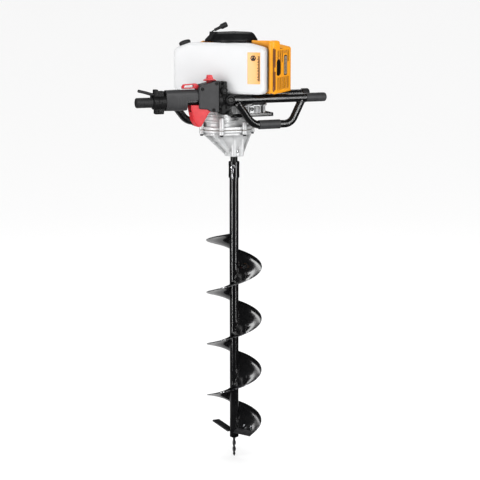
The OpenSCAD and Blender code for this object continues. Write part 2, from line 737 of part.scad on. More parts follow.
module loop_sleeves() {
    color("#3b3b3f") {
        sleeve(38, 98, -1);
        sleeve(-88, -28, 1);
    }
}
module frame_plate() {
    color("#1a1a1c") difference() {
        union() {
            slab(-70, 70, -47.5, 47.5, plate_low, plate_top);
            slab(-26, 26, -74, 74, plate_low, plate_top);
        }
        translate([0, 0, plate_low - 1]) cylinder(h = 20, r = 47);
        for (s = [-1, 1]) translate([-80, s*bar_y, bar_z]) along_x(160, bar_d/2);
        loop_tube(front_tops, front_feet, -1);
        loop_tube(rear_tops, rear_feet, 1);
    }
}
// A sleeve with a closed, rounded end over the last stretch of a bar; out is 1 or -1
module bar_sleeve(inner, end, y, r, out) {
    translate([inner, y, bar_z]) rotate([0, 0, out > 0 ? 0 : 180]) {
        l = abs(end - inner);
        difference() {
            along_x(l, r);
            translate([-1, 0, 0]) along_x(l + 1, bar_d/2);
        }
        translate([l, 0, 0]) rotate([0, 90, 0]) rotate_extrude()
            polygon([[0, 0], [r, 0], [r - 1.2, 2], [r - 4, 3.5], [0, 4]]);
    }
}
module bar_grips() {
    color("#2c2c30") {
        bar_sleeve(grip_from, front_right, -bar_y, grip_d/2, 1);
        bar_sleeve(bar_right - 17, bar_right, bar_y, 13.5, 1);
        bar_sleeve(rear_left + 17, rear_left, bar_y, 13.5, -1);
    }
}
module bar_end_cap() {
    color("#232326") translate([front_left - 3, -bar_y, bar_z]) difference() {
        along_x(45, 13);
        translate([3, 0, 0]) along_x(50, bar_d/2);
    }
}

// -------------------------------------------------------------- throttle
module handle_collar() {
    color("#1d1d20") at_bar(-248) difference() {
        union() {
            along_x(34, 18);
            slab(4, 30, -9, 9, -30, 0);
            slab(0, 30, -8, 8, 0, 33);
            rod([2, 0, 20], [-39, 0, 30.5], 4.2);
        }
        translate([-1, 0, 0]) along_x(40, bar_d/2);
    }
}
module throttle_grip() {
    color("#202024") at_bar(0) difference() {
        translate([-214, 0, 0]) rotate([90, 0, 90]) linear_extrude(box_x[0] + 214) hull() {
            circle(r = 15, $fn = fine);
            translate([0, 16]) circle(r = 14.5, $fn = fine);
            translate([0, -10]) circle(r = 12.5, $fn = fine);
        }
        translate([-220, 0, 0]) along_x(200, bar_d/2);
        slab(-157, -100, -20, 20, -30, 5);
        slab(-176, -120, -4.8, 4.8, 20, 40);
    }
}
module throttle_housing() {
    color("#232327") at_bar(0) difference() {
        slab(box_x[0], box_x[1], -box_half, box_half, -29, 51);
        translate([-140, 0, 0]) along_x(80, bar_d/2);
        slab(box_x[0] - 1, -82, -15.6, 15.6, -40, 0);
        slab(-114, -78, -14, 14, 24, 49);
        slab(-104, -76, -3.5, 3.5, 40, 60);
        slab(box_x[0] - 1, -110, -4.8, 4.8, 20, 44);
        translate([trigger_pin[0], -20, trigger_pin[1]]) along_y(40, 2.5);
        translate([lock_pivot[0], -20, lock_pivot[1]]) along_y(40, 2);
        for (p = screw_spots) translate([p[0], -box_half - 1, p[1]]) along_y(4, 2.6);
    }
}
module throttle_trigger() {
    color("#c8242b") at_bar(0) difference() {
        profile([[-149, -9], [-148, -22], [-141, -51], [-131, -66], [-121, -65], [-102, -34],
            [-91, -22], [-89, -12], [-97, -9.5]], -14.8, 14.8);
        profile([[-170, 10], [-170, -28], [-120, -28], [-108, -25], [-80, -25], [-80, 10]], -12, 12);
        translate([trigger_pin[0], -20, trigger_pin[1]]) along_y(40, 2.5 + fit);
    }
}
module lockout_lever() {
    color("#c8242b") at_bar(0) difference() {
        profile([[-169, 32.5], [-169, 39], [-164, 44], [-130, 45.5], [-122, 38], [-120, 30],
            [-127, 28], [-131, 32.2]], -4, 4);
        translate([lock_pivot[0], -20, lock_pivot[1]]) along_y(40, 2 + fit);
        profile([[-163, 35.5], [-163, 39.5], [-160, 41], [-138, 42], [-138, 35.5]], -5, 5);
    }
}
module stop_switch() {
    color("#c8242b") at_bar(0) {
        profile([[-108, 51.3], [-108, 53], [-99, 58], [-97, 66], [-89, 66], [-87, 58], [-78, 53],
            [-78, 51.3]], -9, 9);
        slab(-101, -85, -3, 3, 46, 52);
    }
}
module inner_clamp() {
    color("#161618") at_bar(0) difference() {
        union() {
            translate([box_x[1], 0, 0]) along_x(40, 19);
            slab(box_x[1], -50, -15, 15, 0, 50);
            slab(-66, -40, -13, 13, -36, 0);
            translate([-62, -24, 26]) along_y(10, 9);
            translate([-44, -26, 2]) along_y(14, 13);
        }
        translate([-80, 0, 0]) along_x(80, bar_d/2);
        translate([0, bar_y, -bar_z]) engine_frame() slab(tank_left - 2, tank_right + 2,
            -tank_back - tank_w - 1.5, -tank_back + 2, tank_low - 1.5, dome_low);
    }
}
module throttle_fasteners() {
    color("#0e0e10") at_bar(0) {
        for (p = screw_spots) translate([p[0], -box_half + 1, p[1]]) along_y(2, 2.6);
        translate([trigger_pin[0], -box_half + 0.2, trigger_pin[1]]) along_y(2*box_half - 0.4, 2.5);
        translate([lock_pivot[0], -box_half + 0.2, lock_pivot[1]]) along_y(2*box_half - 0.4, 2);
        translate([-44, -24, -33]) along_y(11, 7);
    }
}

auger_shaft();
auger_flight();
front_blade();
rear_blade();
blade_bolts();
centre_drill();
auger_coupler();
lock_pin();
r_clip();
output_shaft();
output_gear();
intermediate_shaft();
intermediate_gear();
input_pinion();
clutch_drum();
clutch_shoes();
crankshaft();
flywheel();
starter_pulley();
starter_handle();
throttle_trigger();
lockout_lever();
stop_switch();
fuel_cap();
carb_throttle_arm();
choke_lever();
primer_bulb();
front_bar();
rear_bar();
front_loop();
rear_loop();
frame_plate();
adapter_plate();
bar_grips();
loop_sleeves();
bar_end_cap();
clutch_housing();
gearbox_upper_housing();
gearbox_lower_housing();
gearbox_gasket();
gearbox_bolts();
ball_bearings();
oil_seal();
crankcase();
cylinder_barrel();  // cylinder
piston();
connecting_rod();
spark_plug();
muffler();
carburettor();
air_filter_cover();
recoil_housing();
engine_cover();
fuel_tank();
throttle_housing();
throttle_grip();
handle_collar();
inner_clamp();
throttle_fasteners();
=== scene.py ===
"""The looks of a powered ice auger, built round its CAD frame.

Shapes are lists of points and faces in millimetres; make() turns them into pieces in metres.
"""

import math

import bmesh
import bpy
from mathutils import Matrix, Vector
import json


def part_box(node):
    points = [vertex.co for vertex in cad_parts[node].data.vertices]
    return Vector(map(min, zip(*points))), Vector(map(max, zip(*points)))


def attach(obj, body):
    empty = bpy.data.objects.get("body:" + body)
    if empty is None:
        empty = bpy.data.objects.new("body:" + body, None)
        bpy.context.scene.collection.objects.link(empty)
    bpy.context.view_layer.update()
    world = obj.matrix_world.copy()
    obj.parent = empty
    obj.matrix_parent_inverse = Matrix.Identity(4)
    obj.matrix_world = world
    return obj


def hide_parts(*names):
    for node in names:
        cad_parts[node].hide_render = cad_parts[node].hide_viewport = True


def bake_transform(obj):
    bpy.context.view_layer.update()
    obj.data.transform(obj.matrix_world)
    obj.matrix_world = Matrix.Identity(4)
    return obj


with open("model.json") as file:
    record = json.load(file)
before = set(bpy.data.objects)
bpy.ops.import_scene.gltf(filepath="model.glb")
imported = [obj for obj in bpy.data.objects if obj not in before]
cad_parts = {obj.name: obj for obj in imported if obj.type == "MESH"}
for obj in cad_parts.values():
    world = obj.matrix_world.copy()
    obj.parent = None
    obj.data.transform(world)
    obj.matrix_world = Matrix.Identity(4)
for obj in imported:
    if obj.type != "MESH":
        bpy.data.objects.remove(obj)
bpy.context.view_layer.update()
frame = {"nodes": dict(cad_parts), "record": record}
nodes = frame["nodes"]
MM = 0.001
ENGINE_TURN = math.radians(-43)


def set_inputs(node, *first, **named):
    """Sets a shader node's inputs, in order or by name with _ for a space, to values or outputs."""
    sockets = [(node.inputs[i], value) for i, value in enumerate(first)]
    sockets += [(node.inputs[name.replace("_", " ")], value) for name, value in named.items()]
    for socket, value in sockets:
        if isinstance(value, bpy.types.NodeSocket):
            node.id_data.links.new(value, socket)
        else:
            socket.default_value = value


def add_node(tree, kind, *first, operation=None, **named):
    """A new shader node with its inputs set as set_inputs does."""
    node = tree.nodes.new("ShaderNode" + kind)
    if operation:
        node.operation = operation
    set_inputs(node, *first, **named)
    return node


# ------------------------------------------------------------ camera, floor and light
CAMERA_TURN = math.radians(-22)
CAMERA_PITCH = math.radians(10.26)
CAMERA_AWAY = 3.930
CAMERA_ASIDE = 0.016
CAMERA_HEIGHT = 1.315


def add_camera():
    """The camera stands left of the front and looks a little down."""
    back = Vector((math.sin(CAMERA_TURN), -math.cos(CAMERA_TURN), 0))
    right = Vector((math.cos(CAMERA_TURN), math.sin(CAMERA_TURN), 0))
    data = bpy.data.cameras.new("camera")
    data.sensor_width = 36
    data.lens = 111.75
    camera = bpy.data.objects.new("camera", data)
    camera.location = back * CAMERA_AWAY + right * CAMERA_ASIDE + Vector((0, 0, CAMERA_HEIGHT))
    camera.rotation_euler = (math.pi / 2 - CAMERA_PITCH, 0, CAMERA_TURN)
    bpy.context.scene.collection.objects.link(camera)
    bpy.context.scene.camera = camera


def add_light(name, place, aim, width, height, watts, gloss_only=False):
    """A soft rectangular light at place that points at aim; gloss_only shows in reflections alone."""
    data = bpy.data.lights.new(name, "AREA")
    data.shape = "RECTANGLE"
    data.size = width
    data.size_y = height
    data.energy = watts
    light = bpy.data.objects.new(name, data)
    light.location = place
    light.rotation_euler = (Vector(aim) - Vector(place)).to_track_quat("-Z", "Y").to_euler()
    light.visible_camera = False
    light.visible_diffuse = not gloss_only
    bpy.context.scene.collection.objects.link(light)


def add_studio():
    """A pale floor, a white room that reflections don't show, and long narrow lights for the gloss."""
    scene = bpy.context.scene
    scene.view_settings.view_transform = "Standard"
    world = bpy.data.worlds.new("studio")
    world.use_nodes = True
    background = world.node_tree.nodes["Background"]
    background.inputs["Color"].default_value = (1, 1, 1, 1)
    background.inputs["Strength"].default_value = 1.0
    world.cycles_visibility.glossy = False
    scene.world = world
    add_light("front_strip", (-0.2, -2.3, 2.5), (0, 0, 0.95), 2.2, 0.12, 16)
    add_light("left_strip", (-2.5, -0.3, 1.0), (0, 0, 0.7), 0.09, 2.0, 16)
    add_light("right_strip", (1.5, -2.3, 1.0), (0, 0, 0.7), 0.09, 2.0, 16)
    add_light("top_back", (0.6, 1.6, 2.6), (0, 0, 1.0), 1.4, 0.4, 12)
    add_light("low_back", (-0.1, 1.1, 0.01), (-0.1, 1.1, 1.0), 1.2, 1.9, 5)
    add_light("bar_gloss", (-0.3, -2.4, 2.1), (0, 0, 0.95), 2.6, 0.3, 38, True)
    add_light("left_gloss", (-2.4, -0.9, 0.9), (0, 0, 0.6), 0.22, 2.6, 38, True)
    add_light("right_gloss", (1.1, -2.6, 0.9), (0, 0, 0.6), 0.22, 2.6, 30, True)
    half = 90
    mesh = bpy.data.meshes.new("floor")
    corners = [(-half, -half, 0), (half, -half, 0), (half, half, 0), (-half, half, 0)]
    mesh.from_pydata(corners, [], [(0, 1, 2, 3)])
    floor = bpy.data.objects.new("floor", mesh)
    scene.collection.objects.link(floor)
    paint = bpy.data.materials.new("floor_paint")
    paint.use_nodes = True
    shader = paint.node_tree.nodes["Principled BSDF"]
    set_inputs(shader, Base_Color=(0.98, 0.98, 0.98, 1), Roughness=0.9, Specular_IOR_Level=0.1)
    mesh.materials.append(paint)
    floor.visible_glossy = False


add_camera()
add_studio()


# ------------------------------------------------------------ materials
def finish_of(name, color, rough, metal=0.0, coat=0.0, vary=0.15, spread=0.08, patch=60, grain=1200,
        bump=0.05, subsurface=0.0, shine=0.5, painted_shade=0.0):
    """A material whose colour and roughness wander over patches and whose surface has a fine grain.

    patch and grain are noise scales per metre; vary and spread are how far colour and roughness go;
    shine is the strength of its mirror part, and the last argument how far painted shade darkens the
    hollows.
    """
    made = bpy.data.materials.new(name)
    made.use_nodes = True
    tree = made.node_tree
    shader = tree.nodes["Principled BSDF"]
    place = add_node(tree, "TexCoord").outputs["Object"]
    patches = add_node(tree, "TexNoise", place, Scale=patch, Detail=4)
    ramp = add_node(tree, "ValToRGB", patches.outputs["Fac"])
    for stop, position, share in zip(ramp.color_ramp.elements, (0.3, 0.7), (1 - vary, 1 + vary)):
        stop.position = position
        stop.color = (*[min(1, c * share) for c in color], 1)
    tinted = ramp.outputs["Color"]
    # Painted shade: ambient occlusion darkens the colour in hollows, creases and between parts.
    if painted_shade:
        hollows = add_node(tree, "AmbientOcclusion", Distance=0.012)
        hollows.samples = 8
        shade_scale = add_node(tree, "MapRange", hollows.outputs["AO"], From_Min=0.25, From_Max=0.95,
            To_Min=1 - painted_shade)
        darker = add_node(tree, "VectorMath", tinted, operation="SCALE", Scale=shade_scale.outputs["Result"])
        tinted = darker.outputs["Vector"]
    worn = add_node(tree, "TexNoise", place, Scale=patch * 2.3)
    gloss = add_node(tree, "MapRange", worn.outputs["Fac"], To_Min=max(0.02, rough - spread),
        To_Max=min(1, rough + spread))
    fine = add_node(tree, "TexNoise", place, Scale=grain, Detail=2)
    relief = add_node(tree, "Bump", Height=fine.outputs["Fac"], Strength=bump, Distance=0.0005)
    set_inputs(shader, Base_Color=tinted, Roughness=gloss.outputs["Result"],
        Normal=relief.outputs["Normal"], Metallic=metal, Coat_Weight=coat, Coat_Roughness=0.12,
        Specular_IOR_Level=shine, Subsurface_Weight=subsurface, Subsurface_Radius=(0.012, 0.012, 0.012))
    return made


# Where a finish sets its last argument, shade is painted into its hollows by ambient occlusion.
FINISHES = {"gloss_black_steel": finish_of("gloss_black_enamel", (0.006, 0.006, 0.0065), 0.14, vary=0.3,
    spread=0.03, patch=25, grain=500, bump=0.012, shine=0.6),
    "frame_black": finish_of("black_powder_coat", (0.006, 0.006, 0.0065), 0.2, vary=0.25, spread=0.04,
    grain=900, bump=0.015, shine=0.55), "blade_steel": finish_of("black_oxide_blade", (0.03, 0.03, 0.032),
    0.32, metal=0.3, vary=0.35, patch=90, grain=700, bump=0.12, shine=0.5),
    "bright_steel": finish_of("bright_steel", (0.6, 0.61, 0.63), 0.24, metal=1, grain=900, bump=0.05),
    "wire_steel": finish_of("zinc_wire", (0.5, 0.5, 0.52), 0.2, metal=1, vary=0.08, grain=1500,
    bump=0.03), "gear_steel": finish_of("ground_steel", (0.4, 0.4, 0.42), 0.32, metal=1, vary=0.2,
    patch=140, bump=0.08), "cast_aluminium": finish_of("cast_aluminium", (0.62, 0.625, 0.63), 0.4,
    metal=0.3, vary=0.1, spread=0.1, patch=70, grain=1700, bump=0.25, painted_shade=0.8),
    "tank_plastic": finish_of("translucent_tank", (0.66, 0.665, 0.672), 0.4, vary=0.02, spread=0.05,
    patch=14, grain=900, bump=0.03, subsurface=0.3, shine=0.3, painted_shade=0.12),
    "cover_orange": finish_of("orange_cover", (0.84, 0.33, 0.008), 0.36, vary=0.05, patch=40, grain=2200,
    bump=0.05, shine=0.25, painted_shade=0.85), "black_plastic": finish_of("black_nylon", (0.009, 0.009, 0.0095),
    0.42, vary=0.25, patch=80, grain=2400, bump=0.14, shine=0.16, painted_shade=0.5),
    "grip_vinyl": finish_of("grey_vinyl", (0.036, 0.036, 0.038), 0.45, vary=0.12, patch=70, grain=2000,
    bump=0.1, shine=0.25, painted_shade=0.5), "black_rubber": finish_of("black_rubber", (0.018, 0.018, 0.019),
    0.55, vary=0.2, patch=70, grain=1800, bump=0.18, shine=0.25, painted_shade=0.4),
    "red_plastic": finish_of("red_plastic", (0.58, 0.022, 0.03), 0.38, vary=0.08, grain=2200, bump=0.06,
    shine=0.3, painted_shade=0.4), "bolt_black": finish_of("black_oxide_bolt", (0.008, 0.008, 0.008), 0.36,
    vary=0.3, bump=0.1, shine=0.3, painted_shade=0.5),
    "gasket_paper": finish_of("gasket_paper", (0.2, 0.16, 0.12), 0.85, vary=0.2, patch=300, bump=0.3),
    "friction_lining": finish_of("friction_lining", (0.16, 0.12, 0.09), 0.8, vary=0.4, patch=500,
    bump=0.4), "exhaust_steel": finish_of("heated_steel", (0.12, 0.115, 0.11), 0.55, metal=0.7, vary=0.35,
    patch=50, bump=0.25), "brass": finish_of("brass", (0.72, 0.53, 0.2), 0.28, metal=1, bump=0.05),
    "ceramic_white": finish_of("glazed_ceramic", (0.8, 0.79, 0.75), 0.12, coat=0.5, vary=0.04, bump=0.02),
    "white_nylon": finish_of("white_nylon", (0.72, 0.71, 0.66), 0.5, vary=0.06, bump=0.08),
    "primer_rubber": finish_of("primer_rubber", (0.7, 0.57, 0.38), 0.4, vary=0.1, subsurface=0.3,
    bump=0.08), }


# ------------------------------------------------------------ shapes
def span(node):
    """Lowest and highest corner of a CAD node."""
    low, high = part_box(node)
    return low / MM, high / MM


def engine_span(node):
    """Lowest and highest corner of a CAD node along the turned engine's own axes."""
    back = Matrix.Rotation(-ENGINE_TURN, 3, "Z")
    points = [back @ v.co / MM for v in nodes[node].data.vertices]
    return Vector(map(min, *points)), Vector(map(max, *points))


def band(a, b):
    """Faces between two rings of point numbers; a ring of one point makes triangles."""
    made = []
    for k in range(max(len(a), len(b))):
        quad = [a[k % len(a)], a[(k + 1) % len(a)], b[(k + 1) % len(b)], b[k % len(b)]]
        made.append(list(dict.fromkeys(quad)))
    return made


def skin(rings, closed=False):
    """A shape from rings of points, capped at both ends unless it closes on itself."""
    points, faces, numbers = [], [], []
    for ring in rings:
        numbers.append(list(range(len(points), len(points) + len(ring))))
        points += [Vector(p) for p in ring]
    for a, b in zip(numbers, numbers[1:]):
        faces += band(a, b)
    if closed:
        faces += band(numbers[-1], numbers[0])
    else:
        faces += [ring for ring in (numbers[0][::-1], numbers[-1]) if len(ring) > 2]
    return points, faces


def hexagon(angle):
    """Distance of a hexagon's side at an angle, for a hexagon of corner radius 1."""
    return math.cos(math.pi / 6) / math.cos(angle % (math.pi / 3) - math.pi / 6)


def lathe(profile, steps=48, closed=False, ribs=0, rib_depth=0.0):
    """A profile of (radius, height) or (radius, height, True for six-sided) turned about Z."""
    rings = []
    for radius, height, *six in profile:
        if radius <= 0:
            rings.append([(0, 0, height)])
            continue
        ring = []
        for k in range(steps):
            a = math.tau * k / steps
            r = radius * (hexagon(a) if six else 1) + rib_depth * math.cos(ribs * a) * (ribs > 0)
            ring.append((r * math.cos(a), r * math.sin(a), height))
        rings.append(ring)
    return skin(rings, closed)


def drum(radius, low, high, steps=48):
    """An upright cylinder."""
    return lathe([(0, low), (radius, low), (radius, high), (0, high)], steps)


def tube(path, radius, sides=20, closed=False):
    """A round tube along a path; radius is one number or one for each point."""
    path = [Vector(p) for p in path]
    last = len(path) - 1
    rings = []
    side = None
    for i, p in enumerate(path):
        before = path[i - 1] if closed else path[max(i - 1, 0)]
        after = path[(i + 1) % len(path)] if closed else path[min(i + 1, last)]
        way = (after - before).normalized()
        side = way.orthogonal() if side is None else side - side.dot(way) * way
        side.normalize()
        up = way.cross(side)
        r = radius[i] if isinstance(radius, (list, tuple)) else radius
        rings.append([p +
            r * (math.cos(math.tau * k / sides) * side + math.sin(math.tau * k / sides) * up)
            for k in range(sides)])
    return skin(rings, closed)


def bend(a, b, c, reach, steps=10):
    """Points of a smooth bend at b on the way from a to c."""
    a, b, c = Vector(a), Vector(b), Vector(c)
    u, v = (a - b).normalized(), (c - b).normalized()
    return [b + reach * ((1 - t) ** 2 * u + t ** 2 * v) for t in (i / steps for i in range(steps + 1))]


def outline(corners, radius, inset=0.0, steps=5):
    """A polygon's corners, drawn anticlockwise, rounded with arcs and moved inward by inset."""
    made = []
    n = len(corners)
    for i, corner in enumerate(corners):
        p = Vector(corner[:2])
        r = corner[2] if len(corner) > 2 else radius
        a = (p - Vector(corners[i - 1][:2])).normalized()
        b = (Vector(corners[(i + 1) % n][:2]) - p).normalized()
        turn = math.atan2(a.x * b.y - a.y * b.x, a.dot(b))
        inward = Vector((-a.y - b.y, a.x + b.x)).normalized()
        p = p + inward * inset / max(math.cos(turn / 2), 0.2)
        r = max(r - inset, 0.01) if turn > 0 else r + inset
        reach = r * math.tan(abs(turn) / 2)
        centre = p - a * reach + math.copysign(r, turn) * Vector((-a.y, a.x))
        start = p - a * reach - centre
        for k in range(steps + 1):
            t = turn * k / steps
            spun = Vector((start.x * math.cos(t) - start.y * math.sin(t),
                start.x * math.sin(t) + start.y * math.cos(t)))
            made.append(centre + spun)
    return made


def flat(a, b, depth):
    return Vector((a, b, depth))


def side_on(a, b, depth):
    return Vector((a, depth, b))


def end_on(a, b, depth):
    return Vector((depth, a, b))


def pillow(corners, radius, low, high, edge, place=side_on, steps=5, rim=4):
    """A rounded outline pushed from low to high, with its two rims rounded by edge."""
    rings = []
    for k in range(rim + 1):
        a = math.pi / 2 * k / rim
        ring = outline(corners, radius, edge * (1 - math.sin(a)), steps)
        rings.append([place(p.x, p.y, low + edge * (1 - math.cos(a))) for p in ring])
    for k in range(rim, -1, -1):
        a = math.pi / 2 * k / rim
        ring = outline(corners, radius, edge * (1 - math.sin(a)), steps)
        rings.append([place(p.x, p.y, high - edge * (1 - math.cos(a))) for p in ring])
    return skin(rings)


def oblong(a0, a1, b0, b1):
    """Corners of a rectangle."""
    return [(a0, b0), (a1, b0), (a1, b1), (a0, b1)]


def slab(x0, x1, y0, y1, z0, z1, edge=1.0):
    """A block with rounded edges."""
    return pillow(oblong(x0, x1, y0, y1), edge, z0, z1, edge, flat, steps=3, rim=3)


def circle(x, y, z, radius, count=64):
    return [Vector((x + radius * math.cos(math.tau * k / count),
        y + radius * math.sin(math.tau * k / count), z)) for k in range(count)]


def hull(points):
    """The convex hull of points."""
    mesh = bmesh.new()
    for p in points:
        mesh.verts.new(p)
    bmesh.ops.convex_hull(mesh, input=mesh.verts)
    bmesh.ops.delete(mesh, geom=[v for v in mesh.verts if not v.link_faces], context="VERTS")
    mesh.verts.index_update()
    shape = [v.co.copy() for v in mesh.verts], [[v.index for v in f.verts] for f in mesh.faces]
    mesh.free()
    return shape


def moved(shape, matrix):
    return [matrix @ p for p in shape[0]], shape[1]


def shifted(shape, x=0.0, y=0.0, z=0.0):
    return moved(shape, Matrix.Translation((x, y, z)))


def turned(shape, angle, axis="Z"):
    return moved(shape, Matrix.Rotation(angle, 4, axis))


def in_engine(shape):
    """A shape drawn along the engine's own axes, in its place."""
    return turned(shape, ENGINE_TURN)


def facing_front(shape, x, y, z):
    """A shape drawn round Z, laid down so that its top points to -Y at a place."""
    return shifted(turned(shape, math.pi / 2, "X"), x, y, z)


def joined(shapes):
    points, faces = [], []
    for more_points, more_faces in shapes:
        faces += [[i + len(points) for i in face] for face in more_faces]
        points += more_points
    return points, faces


def raw_mesh(name, shape):
    """An object in the scene with a shape's mesh, in metres, its faces pointing outward."""
    mesh = bpy.data.meshes.new(name)
    mesh.from_pydata([Vector(p) * MM for p in shape[0]], [], shape[1])
    work = bmesh.new()
    work.from_mesh(mesh)
    bmesh.ops.remove_doubles(work, verts=work.verts, dist=1e-7)
    bmesh.ops.recalc_face_normals(work, faces=work.faces)
    work.to_mesh(mesh)
    work.free()
    made = bpy.data.objects.new(name, mesh)
    bpy.context.scene.collection.objects.link(made)
    return made


def apply_modifier(obj, kind, **settings):
    """Adds a modifier, sets it and puts its result in the object's mesh."""
    modifier = obj.modifiers.new(kind.lower(), kind)
    for name, value in settings.items():
        setattr(modifier, name, value)
    bpy.context.view_layer.update()
    result = bpy.data.meshes.new_from_object(obj.evaluated_get(bpy.context.evaluated_depsgraph_get()))
    obj.modifiers.clear()
    obj.data = result


def cut(obj, shapes):
    """Cuts closed shapes out of an object, one after another."""
    for shape in shapes:
        tool = raw_mesh("tool", shape)
        apply_modifier(obj, "BOOLEAN", operation="DIFFERENCE", solver="MANIFOLD", object=tool)
        bpy.data.objects.remove(tool)


def finish_piece(obj, slot, replaced=(), body="frame", paint=None, sharp=35):
    """Gives a piece its shading and material, hangs it on its body, and hides the CAD nodes that it
    stands for.
    """
    obj.data.materials.clear()
    obj.data.materials.append(paint or FINISHES[slot])
    obj.data.polygons.foreach_set("use_smooth", [True] * len(obj.data.polygons))
    obj.data.set_sharp_from_angle(angle=math.radians(sharp))
    if body:
        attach(obj, body)
    if replaced:
        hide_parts(*replaced)
    return obj


def make(name, shapes, slot, replaced=(), body="frame", cuts=(), paint=None, sharp=35):
    """A piece made of closed shapes, with other shapes cut out of it."""
    obj = raw_mesh(name, joined(shapes))
    cut(obj, cuts)
    return finish_piece(obj, slot, replaced, body, paint, sharp)


def cast(name, shapes, slot, replaced, cuts, voxel=0.9, passes=4, keep=0.35):
    """A piece cast in one: its shapes flow together, and their corners are filleted."""
    obj = raw_mesh(name, joined(shapes))
    apply_modifier(obj, "REMESH", mode="VOXEL", voxel_size=voxel * MM)
    cut(obj, cuts)
    apply_modifier(obj, "REMESH", mode="VOXEL", voxel_size=voxel * MM)
    apply_modifier(obj, "SMOOTH", factor=0.5, iterations=passes)
    apply_modifier(obj, "DECIMATE", ratio=keep)
    finish_piece(obj, slot, replaced, sharp=60)


# ------------------------------------------------------------ auger bit
FLIGHT_PITCH = 143
FLIGHT_TURNS = 3.75
FLIGHT_START = -65
SHEET = 3


def rim_worn(name, finish, from_radius, to_radius):
    """A copy of a finish that is rubbed to bare steel in spots between two radii from the bit's axis."""
    made = FINISHES[finish].copy()
    made.name = name
    tree = made.node_tree
    shader = tree.nodes["Principled BSDF"]
    enamel = shader.inputs["Base Color"].links[0].from_socket
    place = next(n for n in tree.nodes if n.type == "TEX_COORD").outputs["Object"]
    apart = add_node(tree, "VectorMath", place, (1, 1, 0), operation="MULTIPLY")
    radius = add_node(tree, "VectorMath", apart.outputs["Vector"], operation="LENGTH")
    edge = add_node(tree, "MapRange", radius.outputs["Value"], From_Min=from_radius * MM,
        From_Max=to_radius * MM)
    scratches = add_node(tree, "TexNoise", place, Scale=160, Detail=6)
    both = add_node(tree, "Math", edge.outputs["Result"], scratches.outputs["Fac"], operation="MULTIPLY")
    bare = add_node(tree, "MapRange", both.outputs["Value"], From_Min=0.42, From_Max=0.6)
    mix = tree.nodes.new("ShaderNodeMix")
    mix.data_type = "RGBA"
    color_a, color_b = [socket for socket in mix.inputs if socket.type == "RGBA"]
    tree.links.new(bare.outputs["Result"], mix.inputs["Factor"])
    tree.links.new(enamel, color_a)
    color_b.default_value = (0.35, 0.35, 0.36, 1)
    mixed = next(socket for socket in mix.outputs if socket.type == "RGBA")
    set_inputs(shader, Base_Color=mixed, Metallic=bare.outputs["Result"])
    return made


def flight_rings(section, steps):
    """Rings of a section of (radius, height above the sheet's underside) carried up the spiral."""
    low = span("auger_flight")[0].z
    rings = []
    for i in range(steps + 1):
        t = i / steps
        a = math.radians(FLIGHT_START + 360 * FLIGHT_TURNS * t)
        rise = low + FLIGHT_PITCH * FLIGHT_TURNS * t
        rings.append([(r * math.cos(a), r * math.sin(a), rise + h) for r, h in section])
    return rings


def build_bit():
    """The shaft, the flight with its weld beads, and the twisted centre drill."""
    low, high = span("auger_shaft")
    r = high.x
    make("bit_shaft", [lathe([(0, low.z), (r - 1, low.z), (r, low.z + 1), (r, high.z - 1),
        (r - 1, high.z), (0, high.z)], 64)], "gloss_black_steel", ["auger_shaft"], "auger")
    flight_low, flight_high = span("auger_flight")
    out = max(flight_high.x, -flight_low.x)
    sheet = [(r - 0.5, 0), (r + 9, 0), (r + 26, 0), (r + 44, 0), (out - 1.2, 0), (out - 0.3, 0.5),
        (out, SHEET / 2), (out - 0.3, SHEET - 0.5), (out - 1.2, SHEET), (r + 44, SHEET), (r + 26, SHEET),
        (r + 9, SHEET), (r - 0.5, SHEET)]
    worn = rim_worn("enamel_worn_at_rim", "gloss_black_steel", out - 14, out)
    make("bit_flight", [skin(flight_rings(sheet, 300))], "gloss_black_steel", ["auger_flight"], "auger",
        paint=worn, sharp=40)
    beads = []
    count = 540
    for height in (SHEET + 0.6, -0.6):
        path = []
        for i in range(count):
            t = i / count
            a = math.radians(FLIGHT_START + 4 + 356 * FLIGHT_TURNS * t)
            rise = flight_low.z + FLIGHT_PITCH * FLIGHT_TURNS * (t + 0.003) * 0.99
            path.append(((r + 0.9) * math.cos(a), (r + 0.9) * math.sin(a), rise + height))
        beads.append(tube(path, [1.5 + 0.35 * math.sin(1.9 * i) for i in range(count)], 8))
    make("flight_weld_beads", beads, "gloss_black_steel", body="auger")
    drill = []
    foot, top = (corner.z for corner in span("centre_drill"))
    for i in range(73):
        z = foot + (top + 2 - foot) * i / 72
        near = min(1, max(0, z - foot) / 8)
        ring = []
        for k in range(32):
            a = math.tau * k / 32
            flute = 3.25 + 1.15 * math.cos(2 * (a + math.radians(560) * z / top))
            wide = near * flute + 0.3
            ring.append((wide * math.cos(a), wide * math.sin(a), z))
        drill.append(ring)
    make("pilot_drill", [skin(drill)], "blade_steel", ["centre_drill"], "auger", sharp=60)


